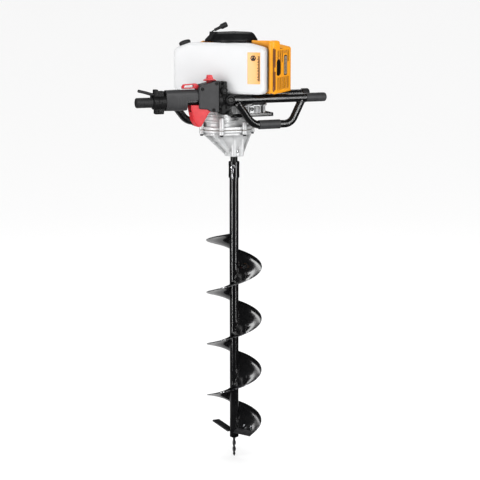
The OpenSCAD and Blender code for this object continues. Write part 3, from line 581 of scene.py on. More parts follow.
def build_coupler():
    """The coupler sleeve, its pin and clip, and the gearbox's output shaft."""
    low, high = span("auger_coupler")
    r = high.x
    pin_z = high.z - 13
    bore = 9.5
    turn = math.radians(-30)
    body = lathe([(bore, low.z + 4), (bore, high.z), (r - 1.2, high.z), (r, high.z - 1.2),
        (r, low.z + 1.5), (r - 1.5, low.z), (bore + 1, low.z)], 72, closed=True)
    slot = pillow(oblong(-3.2, 3.2, pin_z + 4, high.z + 5), 1.2, -30, -4, 0.5)
    sides = [pillow(oblong(-5, 5, low.z + 8, high.z - 9), 4.9, *reach, 0.3, end_on)
        for reach in ((r - 1.6, r + 6), (-r - 6, 1.6 - r))]
    hole = facing_front(drum(4.2, -30, 30, 32), 0, 0, pin_z)
    make("bit_coupler", [turned(body, turn)], "gloss_black_steel", ["auger_coupler"], "auger",
        cuts=[turned(shape, turn) for shape in (slot, *sides, hole)])
    head = lathe([(0, -r - 4), (3.4, -r - 4), (4, -r - 3.2), (4, r + 4), (5.4, r + 4), (6, r + 4.6),
        (6, r + 5.5), (5.2, r + 6), (0, r + 6)], 40)
    make("coupler_pin", [turned(facing_front(head, 0, 0, pin_z), turn)], "wire_steel", ["lock_pin"],
        "auger")
    wire = 0.9
    front = -r - 7.5
    top = pin_z + 3
    eye = Vector((-0.7, front, top))
    loop = [eye + 3.3 * Vector((-math.cos(a), 0, math.sin(a)))
        for a in (math.radians(-50 + 280 * k / 28) for k in range(29))]
    plain = [loop[0], Vector((-1.6, front, top - 20)), Vector((-2.4, front, top - 37))]
    wave = [loop[-1], Vector((1.6, front, top - 14)), Vector((-1.8, front, top - 24)),
        Vector((2.4, front, top - 35))]
    route = [wave[0], *bend(wave[0], wave[1], wave[2], 4), *bend(wave[1], wave[2], wave[3], 4), wave[3]]
    clip = [tube(loop, wire, 12), tube(plain, wire, 12), tube(route, wire, 12)]
    make("hairpin_clip", [turned(shape, turn) for shape in clip], "wire_steel", ["r_clip"], "auger")
    low, high = span("output_shaft")
    make("output_stub", [lathe([(0, low.z), (8.9, low.z), (9.5, low.z + 0.6), (9.5, 832.4), (10, 832.6),
        (10, high.z - 0.6), (9.4, high.z), (0, high.z)], 56)], "bolt_black", ["output_shaft"], "auger")


# ------------------------------------------------------------ gearbox
LOBE_R = 46
BOLT_PLACES = ((-39, 107), (-39, 180), (-39, -107), (0, 79), (0, 0), (0, -79))
BOLT_OUT = 52
NECK_R = 32


def bolt_spot(place):
    """The x and y of a flange bolt, from its lobe's x and its direction there."""
    x, turn = place
    a = math.radians(turn)
    return x + BOLT_OUT * math.cos(a), BOLT_OUT * math.sin(a)


def capsule(radius, z0, z1, axes=(-39, 0)):
    """An upright oval block round two axes, with softened rims."""
    points = []
    for x in axes:
        points += circle(x, 0, z0, radius - 0.8) + circle(x, 0, z0 + 0.8, radius)
        points += circle(x, 0, z1 - 0.8, radius) + circle(x, 0, z1, radius - 0.8)
    return hull(points)


def build_gearbox():
    """The gearbox's two castings and the bolts that hold them together."""
    low, high = span("gearbox_lower_housing")
    split = high.z
    shapes = [hull(circle(0, 0, split - 3, LOBE_R - 6) + circle(0, 0, low.z + 4, 18)),
        hull(circle(-39, 0, split - 3, LOBE_R - 8) + circle(0, 0, split - 4, 30) +
        circle(0, 0, low.z + 4, 17)), lathe([(0, low.z), (23.5, low.z), (25, low.z + 1.5),
        (25, low.z + 9), (21, low.z + 13), (0, low.z + 13)], 72), capsule(LOBE_R + 2, split - 6, split),
        capsule(LOBE_R - 3, split - 14, split - 4),
        shifted(lathe([(0, 871), (15, 871), (16.5, 872.5), (16.5, split), (0, split)], 56), x=-39)]
    for x, turn in ((-39, 180), (-39, 133), (-39, -133), (0, 100), (0, -140), (0, 45), (0, -30)):
        a = math.radians(turn)
        far = Vector((x + (LOBE_R + 0.5) * math.cos(a), (LOBE_R + 0.5) * math.sin(a), 0))
        near = Vector((24.6 * math.cos(a), 24.6 * math.sin(a), 0))
        side = Vector((-math.sin(a), math.cos(a), 0)) * 2.2
        corners = [far + Vector((0, 0, split - 4)), far + Vector((0, 0, split - 13)),
            near + Vector((0, 0, low.z + 3)), Vector((0, 0, low.z + 3)), Vector((0, 0, split - 4))]
        shapes.append(hull([c + side for c in corners] + [c - side for c in corners]))
    for turn, r, top in ((-113, 7.5, split - 8), (-60, 8, split - 24)):
        a = math.radians(turn)
        shapes.append(hull(circle(22.5 * math.cos(a), 22.5 * math.sin(a), low.z + 0.5, r, 40) +
            circle(26 * math.cos(a), 26 * math.sin(a), top, r, 40)))
    boss = lathe([(0, split - 11), (5.6, split - 11), (6.5, split - 10), (6.5, split), (0, split)], 40)
    shapes += [shifted(boss, *bolt_spot(place)) for place in BOLT_PLACES]
    bore = lathe([(0, low.z - 5), (12.5, low.z - 5), (12.5, low.z + 3.5), (20.8, low.z + 4),
        (20.8, split - 12), (34, split - 11), (34, split + 5), (0, split + 5)], 64)
    cast("gearbox_lower_casting", shapes, "cast_aluminium", ["gearbox_lower_housing"], [bore])
    low, high = span("gearbox_upper_housing")
    top = high.z
    deck = span("adapter_plate")[0].z
    shapes = [hull(circle(-39, 0, low.z, LOBE_R - 3.5) + circle(-39, 0, deck - 8, LOBE_R - 3.5) +
        circle(0, 0, low.z, NECK_R) + circle(0, 0, deck - 8, NECK_R)),
        capsule(LOBE_R + 2, low.z, low.z + 8),
        lathe([(0, low.z), (NECK_R, low.z), (NECK_R, deck - 1), (NECK_R - 1, deck), (0, deck)], 72)]
    rings = [(0, low.z), (LOBE_R - 3, low.z), (LOBE_R - 3, low.z + 19), (LOBE_R - 0.4, low.z + 20),
        (LOBE_R - 0.4, low.z + 24), (LOBE_R - 3, low.z + 25), (LOBE_R - 3, low.z + 34),
        (LOBE_R - 4.6, low.z + 35), (LOBE_R - 4.6, top), (0, top)]
    shapes.append(shifted(lathe(rings, 96), x=-39))
    for place in BOLT_PLACES:
        x, y = bolt_spot(place)
        tall = 34 if place == (-39, -107) else 22
        shapes.append(shifted(lathe([(0, low.z), (6.5, low.z), (6.5, low.z + tall - 2),
            (5.2, low.z + tall), (0, low.z + tall)], 40), x, y))
    cuts = [drum(28, low.z - 2, low.z + 12, 64),
        pillow(oblong(-24.3, 60, -60, 60), 0.3, deck, top + 9, 0.2, flat)]
    cast("gearbox_upper_casting", shapes, "cast_aluminium", ["gearbox_upper_housing"], cuts)
    head_low = span("gearbox_bolts")[0].z
    bolt = lathe([(0, head_low + 3), (2.2, head_low + 3, True), (2.2, head_low + 0.2, True),
        (3.8, head_low), (4.5, head_low + 0.7), (4.5, split - 11.2), (3, split - 11), (3, split + 20),
        (0, split + 20)])
    make("gearbox_socket_bolts", [shifted(bolt, *bolt_spot(place)) for place in BOLT_PLACES],
        "bolt_black", ["gearbox_bolts"])


def build_clutch_housing():
    """The ribbed casting round the clutch."""
    low, high = span("clutch_housing")
    shelf = span("frame_plate")[0].z
    axes = (-42, 42)
    shapes = [capsule(44, low.z, shelf, axes), capsule(48, shelf - 5, shelf, axes),
        capsule(46, low.z, low.z + 3, axes), drum(47, shelf - 2, high.z, 96)]
    for inner, outer in ((40, 47.6), (-47.6, -40)):
        for x in range(-66, 67, 11):
            shapes.append(slab(x - 1.7, x + 1.7, inner, outer, low.z, shelf, 0.8))
    shapes += [slab(26, 38, -47.8, -40, low.z, shelf, 1), slab(26, 38, 40, 47.8, low.z, shelf, 1)]
    inside = drum(43, low.z + 4, high.z + 4, 96)
    cast("clutch_casting", shapes, "cast_aluminium", ["clutch_housing"], [inside], passes=3)
    head = lathe([(0, 0), (4.6, 0), (4.6, 2.4), (4, 3), (2.3, 3, True), (2.3, 1, True), (0, 1)], 36)
    bolts = [shifted(turned(head, -side * math.pi / 2, "X"), x, side * 46.5, (low.z + shelf) / 2)
        for side in (-1, 1) for x in (-32, 32)]
    make("clutch_side_bolts", bolts, "bolt_black")


# ------------------------------------------------------------ handle frame
def bar_place(node):
    """A bar's axis, as its y and z, and its radius."""
    low, high = span(node)
    return (low.y + high.y) / 2, (low.z + high.z) / 2, (high.y - low.y) / 2


def along_bar(profile, y, z, steps=48, **more):
    """A profile of (radius, place along X) turned about a bar's axis."""
    return shifted(turned(lathe(profile, steps, **more), math.pi / 2, "Y"), 0, y, z)


def hollow_bar(node):
    low, high = span(node)
    y, z, r = bar_place(node)
    wall = 2
    profile = [(r - wall, low.x), (r - 0.5, low.x), (r, low.x + 0.5), (r, high.x - 0.5),
        (r - 0.5, high.x), (r - wall, high.x)]
    return along_bar(profile, y, z, 64, closed=True)


def weld_ring(centre, a, b, bead=1.6):
    """A lumpy weld bead round a joint; a and b are its half axes."""
    n = 48
    path = [Vector(centre) + math.cos(math.tau * k / n) * Vector(a) +
        math.sin(math.tau * k / n) * Vector(b) for k in range(n)]
    return tube(path, [bead + 0.35 * math.sin(k * 2.6) for k in range(n)], 10, closed=True)


LOOPS = {"front": ((-21, 170), (22, 130), -1), "rear": ((-160, 27), (-104, -6), 1)}
LOOP_R = 10


def loop_foot(name, side):
    """The y and z of the straight foot of a lower handle, which lies on one side of the centre plane."""
    low, high = span(name + "_loop")
    return side * (max(abs(low.y), abs(high.y)) - LOOP_R), low.z + LOOP_R


def build_frame():
    """Both bars, the bent lower handles, and their grips and ends."""
    make("front_handle_bar", [hollow_bar("front_bar")], "frame_black", ["front_bar"])
    make("rear_handle_bar", [hollow_bar("rear_bar")], "frame_black", ["rear_bar"])
    for name, (tops, feet, side) in LOOPS.items():
        bar_y, bar_z, bar_r = bar_place(name + "_bar")
        foot_y, foot_z = loop_foot(name, side)
        ends = [Vector((x, bar_y, bar_z)) for x in tops]
        corners = [Vector((x, foot_y, foot_z)) for x in feet]
        ends = [e + (c - e).normalized() * (bar_r - 1) for e, c in zip(ends, corners)]
        path = [ends[0], *bend(ends[0], corners[0], corners[1], 20, 14),
            *bend(corners[0], corners[1], ends[1], 20, 14), ends[1]]
        make(name + "_lower_handle", [tube(path, LOOP_R, 32)], "frame_black", [name + "_loop"])
        beads = []
        for e, c in zip(ends, corners):
            way = (c - e).normalized()
            slant = LOOP_R / max(abs(way.z), 0.4)
            beads.append(weld_ring(e + way * 2.4, (slant, 0, 0), (0, LOOP_R * 0.92, 0)))
        make(name + "_handle_welds", beads, "frame_black")
    sleeves = []
    for name, side, x0, x1 in (("front", -1, 38, 98), ("rear", 1, -88, -28)):
        profile = [(LOOP_R, x0), (11.4, x0), (12, x0 + 0.8), (12, x1 - 0.8), (11.4, x1), (LOOP_R, x1)]
        sleeves.append(along_bar(profile, *loop_foot(name, side), 56, closed=True))
    make("foam_sleeves", sleeves, "grip_vinyl", ["loop_sleeves"])
    y, z, r = bar_place("front_bar")
    low, high = span("bar_grips")
    tip = span("front_bar")[1].x + 4
    grip = [(r - 0.2, 178), (11.2, 178), (11.8, 178.8), (11.8, tip - 6.5)]
    grip += [(11.8 * math.cos(a) ** 0.6, tip - 6.5 + 6.5 * math.sin(a))
        for a in (math.radians(d) for d in (20, 40, 60, 75))] + [(0, tip)]
    make("front_vinyl_grip", [along_bar([(0, 178)] + grip, y, z, 64)], "grip_vinyl", ["bar_grips"])
    y, z, r = bar_place("rear_bar")
    caps = []
    for out, end in ((1, high.x), (-1, low.x)):
        inner = end - out * 21
        profile = [(0, inner), (12.4, inner), (13.4, inner + out), (13.4, end - out * 4),
            (12.2, end - out * 1.6), (9, end - out * 0.4), (0, end)]
        caps.append(along_bar(profile if out > 0 else profile[::-1], y, z, 48))
    make("rear_bar_caps", caps, "black_rubber")
    y, z, r = bar_place("front_bar")
    low, high = span("bar_end_cap")
    rubber = [(0, low.x), (9, low.x), (12, low.x + 1.2), (13, low.x + 4)]
    for x in range(int(low.x) + 8, int(high.x) - 6, 5):
        rubber += [(13, x), (12.6, x + 0.5), (12.6, x + 1.3), (13, x + 1.8)]
    rubber += [(13, high.x - 0.6), (12.2, high.x), (0, high.x)]
    make("left_bar_rubber", [along_bar(rubber, y, z, 56)], "black_rubber", ["bar_end_cap"])


# ------------------------------------------------------------ throttle
FRONT_BAR = bar_place("front_bar")
SHELL_SCREWS = ((-119, 31), (-80, 44), (-88, -23))
TRIGGER_PIN = (-97, -17)
LOCK_PIN = (-125, 32)
COLLAR_X = -248


def on_bar(shapes, x=0):
    """Shapes drawn round the front bar's axis, in their place."""
    return [shifted(shape, x, *FRONT_BAR[:2]) for shape in shapes]


def bar_turning(profile, steps=64):
    """A profile of (radius, place along X) turned about the X axis."""
    return along_bar(profile, 0, 0, steps)


def bar_bore():
    return bar_turning([(0, -330), (FRONT_BAR[2] + 0.02, -330), (FRONT_BAR[2] + 0.02, 20), (0, 20)])


def screw(x, y, z, r=2.6):
    """A cross-head screw sunk in a front face at y."""
    head = lathe([(0, -4), (r, -4), (r, -0.5), (r - 0.4, 0), (r * 0.55, 0.1, True),
        (r * 0.45, -1.2, True), (0, -1.4)], 30)
    return facing_front(head, x, y, z)


def half_width(node):
    low, high = span(node)
    return (high.y - low.y) / 2


def build_throttle_shell():
    """The throttle's shell round the bar, open for the trigger, the lever and the switch."""
    half = half_width("throttle_housing")
    body = [(-128, -19), (-106, -21, 6), (-95, -28, 4), (-86, -29, 5), (-73, -29), (-73, 50), (-78, 51),
        (-122, 42, 5), (-128, 33, 4)]
    face = [(-110, -10), (-76, -24), (-76, 46), (-110, 40)]
    shapes = [pillow(body, 3, -half, half, 2.4), pillow(face, 3, -half, 6 - half, 1)]
    windows = [pillow(oblong(-140, -84, -40, -2), 2, -15.2, 15.2, 0.5),
        pillow(oblong(-140, -112, 24, 60), 2, -4.8, 4.8, 0.5),
        pillow(oblong(-104, -76, 40, 60), 1, -3.5, 3.5, 0.3)]
    holes = [facing_front(drum(4.2, -3, 5, 32), x, -half, z) for x, z in SHELL_SCREWS]
    seam = slab(-150, -60, -0.4, 0.4, 20, 80, 0.2)
    cast("throttle_shell", on_bar(shapes), "grip_vinyl", ["throttle_housing"],
        on_bar([*windows, bar_bore(), *holes, seam]), 0.7, 2)


def build_handgrip():
    """The grip left of the shell, tall above and below the bar and ridged in front."""
    start = span("throttle_grip")[0].x
    rings = []
    for k in range(41):
        t = k / 40
        r = 14.4 + 0.6 * math.sin(math.pi * t)
        ring = []
        for i in range(64):
            a = math.tau * i / 64
            ridge = 0.25 * math.cos(math.tau * 12 * t) * (0.3 < t < 0.92) * (math.sin(a) < 0.2)
            stretch = 3.8 + 12.2 * math.tanh(3 * math.sin(a))
            ring.append((start + (-127 - start) * t, -(r + ridge) * math.cos(a),
                (r + ridge) * math.sin(a) + stretch))
        rings.append(ring)
    trigger_room = pillow(oblong(-158, -100, -40, 3), 3, -15.2, 15.2, 0.5)
    lever_room = pillow(oblong(-176, -110, 22, 60), 2, -4.8, 4.8, 0.5)
    make("throttle_handgrip", on_bar([skin(rings)]), "grip_vinyl", ["throttle_grip"],
        cuts=on_bar([bar_bore(), trigger_room, lever_room]), sharp=50)


def build_collar():
    """The split collar left of the grip, with the cable's guide."""
    shapes = [bar_turning([(0, 0), (17, 0), (18, 1), (18, 12), (17, 13), (17, 20), (18, 21), (18, 33),
        (17, 34), (0, 34)]), slab(3, 14, -8, 8, 0, 33, 2), slab(12, 30, -8, 8, 0, 29, 3),
        slab(5, 29, -9, 9, -30, 0, 2.5), pillow([(14, -6), (27, -22), (33, -22), (33, 0)], 3, -8, 8, 1.5)]
    split = slab(-2, 40, -1, 1, -32, -14, 0.2)
    cast("bar_collar", on_bar(shapes, COLLAR_X), "black_plastic", ["handle_collar"],
        [*on_bar([bar_bore()]), *on_bar([split], COLLAR_X)], 0.7, 2)
    a, b, c, d = (Vector((x, 0, z)) for x, z in ((4, 19.5), (-2, 20.5), (-20, 26), (-37, 30.2)))
    guide = tube([a, *bend(a, b, c, 4), c, d, d - Vector((1.6, 0, -0.4))], [*[4] * 12, 3.9, 3.9, 2.6], 20)
    make("cable_guide", on_bar([guide], COLLAR_X), "black_rubber")
    ring = weld_ring((17, -9.2, -21), (4.6, 0, 0), (0, 0, 5.6), 1.1)
    make("collar_bolt_ring", on_bar([ring], COLLAR_X), "bolt_black")


def build_clamp():
    """The ribbed inner clamp between the throttle's shell and the tank."""
    upper = lathe([(0, 0), (9, 0), (9, 9), (8, 10), (5.4, 10), (5, 7), (0, 7)], 40)
    lower = lathe([(0, 0), (13, 0), (13, 12.5), (11.6, 14), (8.4, 14), (7.6, 11), (0, 11)])
    shapes = [bar_turning([(0, -73), (18, -73), (19, -72), (19, -62), (16.5, -61), (16.5, -52), (19, -51),
        (19, -34), (18, -33), (0, -33)]), slab(-72.6, -66, -15, 15, -20, 50, 1.5),
        slab(-68, -50, -13, 15, 0, 40, 1.5), slab(-60, -50, -14.5, 15, 0, 49, 1.5),
        slab(-66, -40, -13, 13, -36, 0, 2.5), slab(-53, -50.5, -19, 0, -20, 30, 0.8),
        facing_front(upper, -60, -14, 26), facing_front(lower, -44, -12, 2)]
    cast("inner_clamp_body", on_bar(shapes), "black_plastic", ["inner_clamp"],
        [*on_bar([bar_bore()]), in_engine(slab(*tank_box(1.6), 0.5))], 0.7, 2)
    upper = lathe([(0, 0), (4.6, 0), (4.6, 2), (4, 2.6), (1.8, 2.6, True), (1.8, 1, True), (0, 1)], 36)
    lower = lathe([(0, 0), (7, 0), (7, 2.6), (6.2, 3.4), (2.8, 3.4, True), (2.8, 1, True), (0, 1)], 40)
    make("clamp_screws", on_bar([facing_front(upper, -60, -21, 26), facing_front(lower, -44, -23, 2)]),
        "bolt_black")


def build_fasteners():
    """The screws, pivot pins and knurled knob of the throttle, its collar and its clamp."""
    half = half_width("throttle_housing")
    pins = [facing_front(drum(r, -17.6, 17.6, 28), x, 0, z)
        for (x, z), r in ((TRIGGER_PIN, 2.4), (LOCK_PIN, 1.9))]
    knob = lathe([(0, 0), (5.6, 0), (7, 1), (7, 9), (6, 10.6), (2.6, 11, True), (2.6, 8, True), (0, 8)],
        48, ribs=12, rib_depth=0.25)
    fasteners = [screw(x, 1.4 - half, z) for x, z in SHELL_SCREWS]
    fasteners += [screw(COLLAR_X + 21, -8.5, 23, 3), screw(COLLAR_X + 17, -9.5, -21, 3.4),
        facing_front(knob, -44, -13.2, -33), *pins]
    make("throttle_screws", on_bar(fasteners), "bolt_black", ["throttle_fasteners"])


def build_trigger():
    """The trigger, the lockout lever above it and the stop switch."""
    half = half_width("throttle_trigger")
    shape = [(-149, -9, 1), (-148, -22, 2), (-141, -51, 7), (-131, -66, 5), (-121, -65, 4),
        (-102, -34, 5), (-91, -22, 3), (-89, -12, 2), (-97, -9.5, 2)]
    hollow = [(-170, 10), (-170, -28), (-120, -28), (-108, -25), (-80, -25), (-80, 10)]
    pin = facing_front(drum(2.55, -20, 20, 32), TRIGGER_PIN[0], 0, TRIGGER_PIN[1])
    make("trigger_lever", on_bar([pillow(shape, 3, -half, half, 2.6, rim=5)]), "red_plastic",
        ["throttle_trigger"], "trigger", cuts=on_bar([pillow(hollow, 1.5, -12, 12, 0.5), pin]), sharp=30)
    half = half_width("lockout_lever")
    shape = [(-131, 32.2), (-127, 28), (-120, 30), (-122, 38, 3), (-130, 45.5, 4), (-164, 44, 4),
        (-169, 39, 3), (-169, 32.5)]
    window = [(-164.5, 35), (-138, 35.5), (-138, 42.6), (-162, 41)]
    pin = facing_front(drum(2.05, -20, 20, 32), LOCK_PIN[0], 0, LOCK_PIN[1])
    make("lockout_lever_shell", on_bar([pillow(shape, 2, -half, half, 1.2)]), "red_plastic",
        ["lockout_lever"], "lockout", cuts=on_bar([pillow(window, 2, -6, 6, 0.3), pin]))
    half = half_width("stop_switch")
    foot = [(-108, 51.3, 0.3), (-78, 51.3, 0.3), (-78, 53.4, 1), (-86, 57, 2), (-88, 66, 2.4),
        (-98, 66, 2.4), (-100, 57, 2), (-108, 53.4, 1)]
    ridges = [slab(x, x + 1, 1.2 - half, half - 1.2, 64, 66, 0.3) for x in (-96.5, -93.5, -90.5)]
    stem = slab(-101, -85, -3, 3, 46, 53, 0.4)
    make("stop_slider", on_bar([pillow(foot, 1, -half, half, 1.6), stem, *ridges]), "red_plastic",
        ["stop_switch"], "switch")


# ------------------------------------------------------------ tank, cover and starter
CAP_SLOPE = math.radians(19)
SHOULDER = 44
DOME_LOW = span("recoil_housing")[0].z
CORD_WAY = Vector((0.78, -0.1, 0.36)).normalized()
LUG_TURN = math.radians(158)
RECOIL_R = 62
CRANK_Z = 1056
LABEL_ORANGE = finish_of("printed_orange_film", (0.87, 0.4, 0.1), 0.3, vary=0.03, grain=3000, bump=0.02)
# Painted shade: a dark orange that stands for the shaded inside of the cover's grooves.
VENT_PAINTED_SHADE = finish_of("shaded_vent", (0.2, 0.055, 0.004), 0.6, vary=0.2, bump=0.1)
BADGE_FACE = finish_of("badge_film", (0.36, 0.28, 0.22), 0.35, vary=0.06, grain=2500, bump=0.03)
BADGE_BROWN = finish_of("brown_print", (0.035, 0.018, 0.01), 0.4, vary=0.15, grain=2500, bump=0.05)


def tank_box(margin=0.0):
    """The tank's ends along the engine's own axes, moved outward by margin."""
    low, high = engine_span("fuel_tank")
    ends = [(a - margin, b + margin) for a, b in zip(low, high)]
    return [place for pair in ends for place in pair]


def at_cap(shape):
    """A shape drawn round the fuel cap's axis, in its place on the tank's shoulder."""
    x0, _, y0, y1, _, z1 = tank_box()
    u = -114
    rise = (u - x0 - SHOULDER) * math.tan(CAP_SLOPE)
    return in_engine(shifted(turned(shape, -CAP_SLOPE, "Y"), u, (y0 + y1) / 2, z1 + rise))


def build_tank():
    """The tank's crowned shell with its seam, neck and cap, and the label on its front."""
    x0, x1, y0, y1, z0, z1 = tank_box()
    drop = SHOULDER * math.tan(CAP_SLOPE)
    mid = (y0 + y1) / 2

    def body(inset, *reach, edge, rim):
        corners = [(x0 + inset, z0 + inset), (x1 - inset, z0 + inset), (x1 - inset, z1 - 12 - inset, 15),
            (x1 - 50, z1 - inset, 60), (x0 + SHOULDER, z1 - inset, 30), (x0 + inset, z1 - drop - inset)]
        return in_engine(pillow(corners, 17, *reach, edge, steps=10, rim=rim))

    bore = at_cap(drum(9.9, -14, 4))
    neck = at_cap(lathe([(0, -12), (14, -12), (14, -1), (13, 0), (0, 0)]))
    make("tank_shell", [body(0.5, y0, y1, edge=10, rim=8)], "tank_plastic", ["fuel_tank"], cuts=[bore],
        sharp=50)
    make("tank_seam_and_neck", [body(0, mid - 1, mid + 1, edge=0.8, rim=3), neck], "tank_plastic",
        cuts=[bore], sharp=50)
    dome = lathe([(0, 0.4), (14.2, 0.4), (15, 1.2), (15, 6.5), (14.4, 8.2), (12.4, 9.8), (9, 10.8),
        (5, 11.2), (0, 11.3)], 64)
    plug = lathe([(0, -7.5), (9, -7.5), (9.5, -6.8), (9.5, 0.6), (0, 0.6)], 40)
    ribs = [turned(slab(13.6, 15.4, -0.8, 0.8, 1, 8, 0.5), math.tau * k / 24) for k in range(24)]
    make("tank_cap", [at_cap(shape) for shape in (dome, plug, *ribs)], "black_rubber", ["fuel_cap"],
        "cap")
    left, right, low, high = 68, 103, z0 + 28, z0 + 109
    label = pillow(oblong(left, right, low, high), 1.6, y0 - 0.35, y0 + 0.4, 0.2)
    make("tank_label", [in_engine(label)], "cover_orange", paint=LABEL_ORANGE)
    nut = lathe([(5, 0), (8, 0), (8, 0.25), (5, 0.25)], 6, closed=True)
    peak = [(left + 11, high - 19), (left + 21, high - 19), (left + 16, high - 8)]
    marks = [facing_front(nut, left + 16, y0 - 0.3, high - 15),
        pillow(peak, 0.6, y0 - 0.5, y0 - 0.2, 0.1)]
    for k in range(22):
        z = low + 8 + k * 2.9
        wide = 5.6 + 1.6 * math.sin(k * 2.4)
        marks.append(slab(right - 1 - wide, right - 1, y0 - 0.55, y0 - 0.2, z, z + 2.1, 0.12))
    make("label_marks", [in_engine(mark) for mark in marks], "black_plastic")


def cover_body(name, inset, drop, radius):
    """The engine cover's outer form along the engine's axes, moved inward, with its floor dropped."""
    low, high = engine_span("engine_cover")
    right, left, back, top = high.x - inset, low.x + inset, high.y - inset, high.z - inset
    floor, front, step, shelf = low.z - drop, inset - 60, inset - 29, 115 + inset
    plan = [(left, step, 6), (shelf, step, 3), (shelf, front, 9), (right, front, 11), (right, 72, 16),
        (right - 22, 102, 22), (62, back, 24), (-62, back, 24), (left, 112, 20)]
    side = [(front, floor), (back, floor, 8), (back, CRANK_Z, 22), (back - 12, 1090, 24),
        (100, 1112 - inset, 30), (45, 1126 - inset, 30), (-32, top, 30), (front, top, 9)]
    made = raw_mesh(name, pillow(plan, radius, floor, high.z + 10, 0.3, flat, steps=8, rim=2))
    other = raw_mesh("tool", pillow(side, radius, low.x - 10, high.x + 10, 0.3, end_on, steps=8, rim=2))
    apply_modifier(made, "BOOLEAN", operation="INTERSECT", solver="MANIFOLD", object=other)
    bpy.data.objects.remove(other)
    near, far = 78 - 2 * inset, 2 * inset - 66
    right_slope = [(near, top + 1), (140, top - 25), (140, top + 31), (near, top + 31)]
    left_slope = [(far, top + 1), (far, top + 31), (-120, top + 31), (-120, top - 24)]
    cut(made, [pillow(right_slope, 0.3, -15 - inset, 170, 0.2), pillow(left_slope, 0.3, -80, 170, 0.2)])
    return made


def build_cover():
    """The engine cover, its grooves and slots, the sheets of painted shade behind them, and its badge."""
    low, high = engine_span("engine_cover")
    right = high.x
    obj = cover_body("engine_cover_shell", 0, 0, 10)
    apply_modifier(obj, "REMESH", mode="VOXEL", voxel_size=1.9 * MM)
    apply_modifier(obj, "SMOOTH", factor=0.5, iterations=9)
    inner = cover_body("inner", 3, 6, 8)
    apply_modifier(obj, "BOOLEAN", operation="DIFFERENCE", solver="MANIFOLD", object=inner)
    bpy.data.objects.remove(inner)
    cuts = [drum(RECOIL_R + 2.5, DOME_LOW - 60, high.z + 10, 96),
        slab(-60, 60, -40, -20, low.z - 8, high.z + 12, 1),
        turned(slab(0, 79, -17, 17, DOME_LOW - 6, high.z + 12, 1), LUG_TURN - ENGINE_TURN),
        slab(low.x - 5, low.x + 9, 33.7, 104.3, low.z - 5, 1104.3, 1)]
    for k in range(6):
        y = -34 + 15.5 * k
        above_badge = 1102 if 5 < y < 38 else high.z - 58
        for z0, z1 in ((low.z + 9, low.z + 42), (above_badge, high.z - 26)):
            cuts.append(pillow(oblong(y, y + 8.5, z0, z1), 3, right - 6, right + 8, 1, end_on))
    for z0, z1 in ((low.z + 11, low.z + 58), (high.z - 68, high.z - 22)):
        cuts.append(pillow(oblong(-57, -46, z0, z1), 2, right - 5, right + 8, 0.8, end_on))
    slot = [(-41, 1050), (-24, 1046), (-8, 1052), (-8, 1084), (-24, 1090), (-41, 1086)]
    cuts += [pillow(slot, 3, right - 12, right + 8, 1, end_on),
        shifted(turned(drum(16, 130, 180), -math.pi / 2, "X"), z=CRANK_Z)]
    cut(obj, cuts)
    apply_modifier(obj, "REMESH", mode="VOXEL", voxel_size=1.0 * MM)
    apply_modifier(obj, "SMOOTH", factor=0.5, iterations=2)
    apply_modifier(obj, "DECIMATE", ratio=0.2)
    obj.data.transform(Matrix.Rotation(ENGINE_TURN, 4, "Z"))
    finish_piece(obj, "cover_orange", ["engine_cover"], sharp=60)

    def on_side(corners, radius, depth, out, edge):
        return in_engine(pillow(corners, radius, right + depth, right + out, edge, end_on))

    # A sheet of painted shade behind the grooves, so that they read as shaded hollows.
    shade_sheet = [(-59, low.z + 7), (62, low.z + 7), (62, high.z - 26), (-10, high.z - 20),
        (-59, high.z - 20)]
    make("vent_painted_shade_sheet", [on_side(shade_sheet, 2, -2.8, -1.5, 0.4)], "cover_orange", paint=VENT_PAINTED_SHADE)
    # A black sheet of painted shade inside the slot, so that it reads as a dark opening.
    inside_slot = [(y * 0.96 - 1, (z - 1068) * 0.96 + 1068) for y, z in slot]
    make("slot_painted_shade_sheet", [on_side(inside_slot, 3, -2.7, -1.1, 0.4)], "black_plastic")
    make("cover_badge", [on_side(oblong(14, 38, 1046, 1098), 6, -1.2, 0.6, 0.5)], "black_plastic",
        paint=BADGE_BROWN)
    make("badge_face", [on_side(oblong(17, 35, 1049, 1095), 4, 0.3, 0.9, 0.25)], "cover_orange",
        paint=BADGE_FACE)
    lines = []
    for k in range(11):
        z = 1053 + 3.6 * k
        y0, y1 = 22 - 2 * (k % 3 == 0), 30 + 1.5 * (k % 2)
        lines.append(in_engine(slab(right + 0.6, right + 1.2, y0, y1, z, z + 1.8, 0.2)))
    make("badge_marks", lines, "black_plastic", paint=BADGE_BROWN)


def thrice(shape):
    """A shape at the recoil starter's three fixing ears."""
    turns = [math.radians(40 + 120 * k) for k in range(3)]
    return [shifted(shape, 57 * math.cos(a), 57 * math.sin(a)) for a in turns]


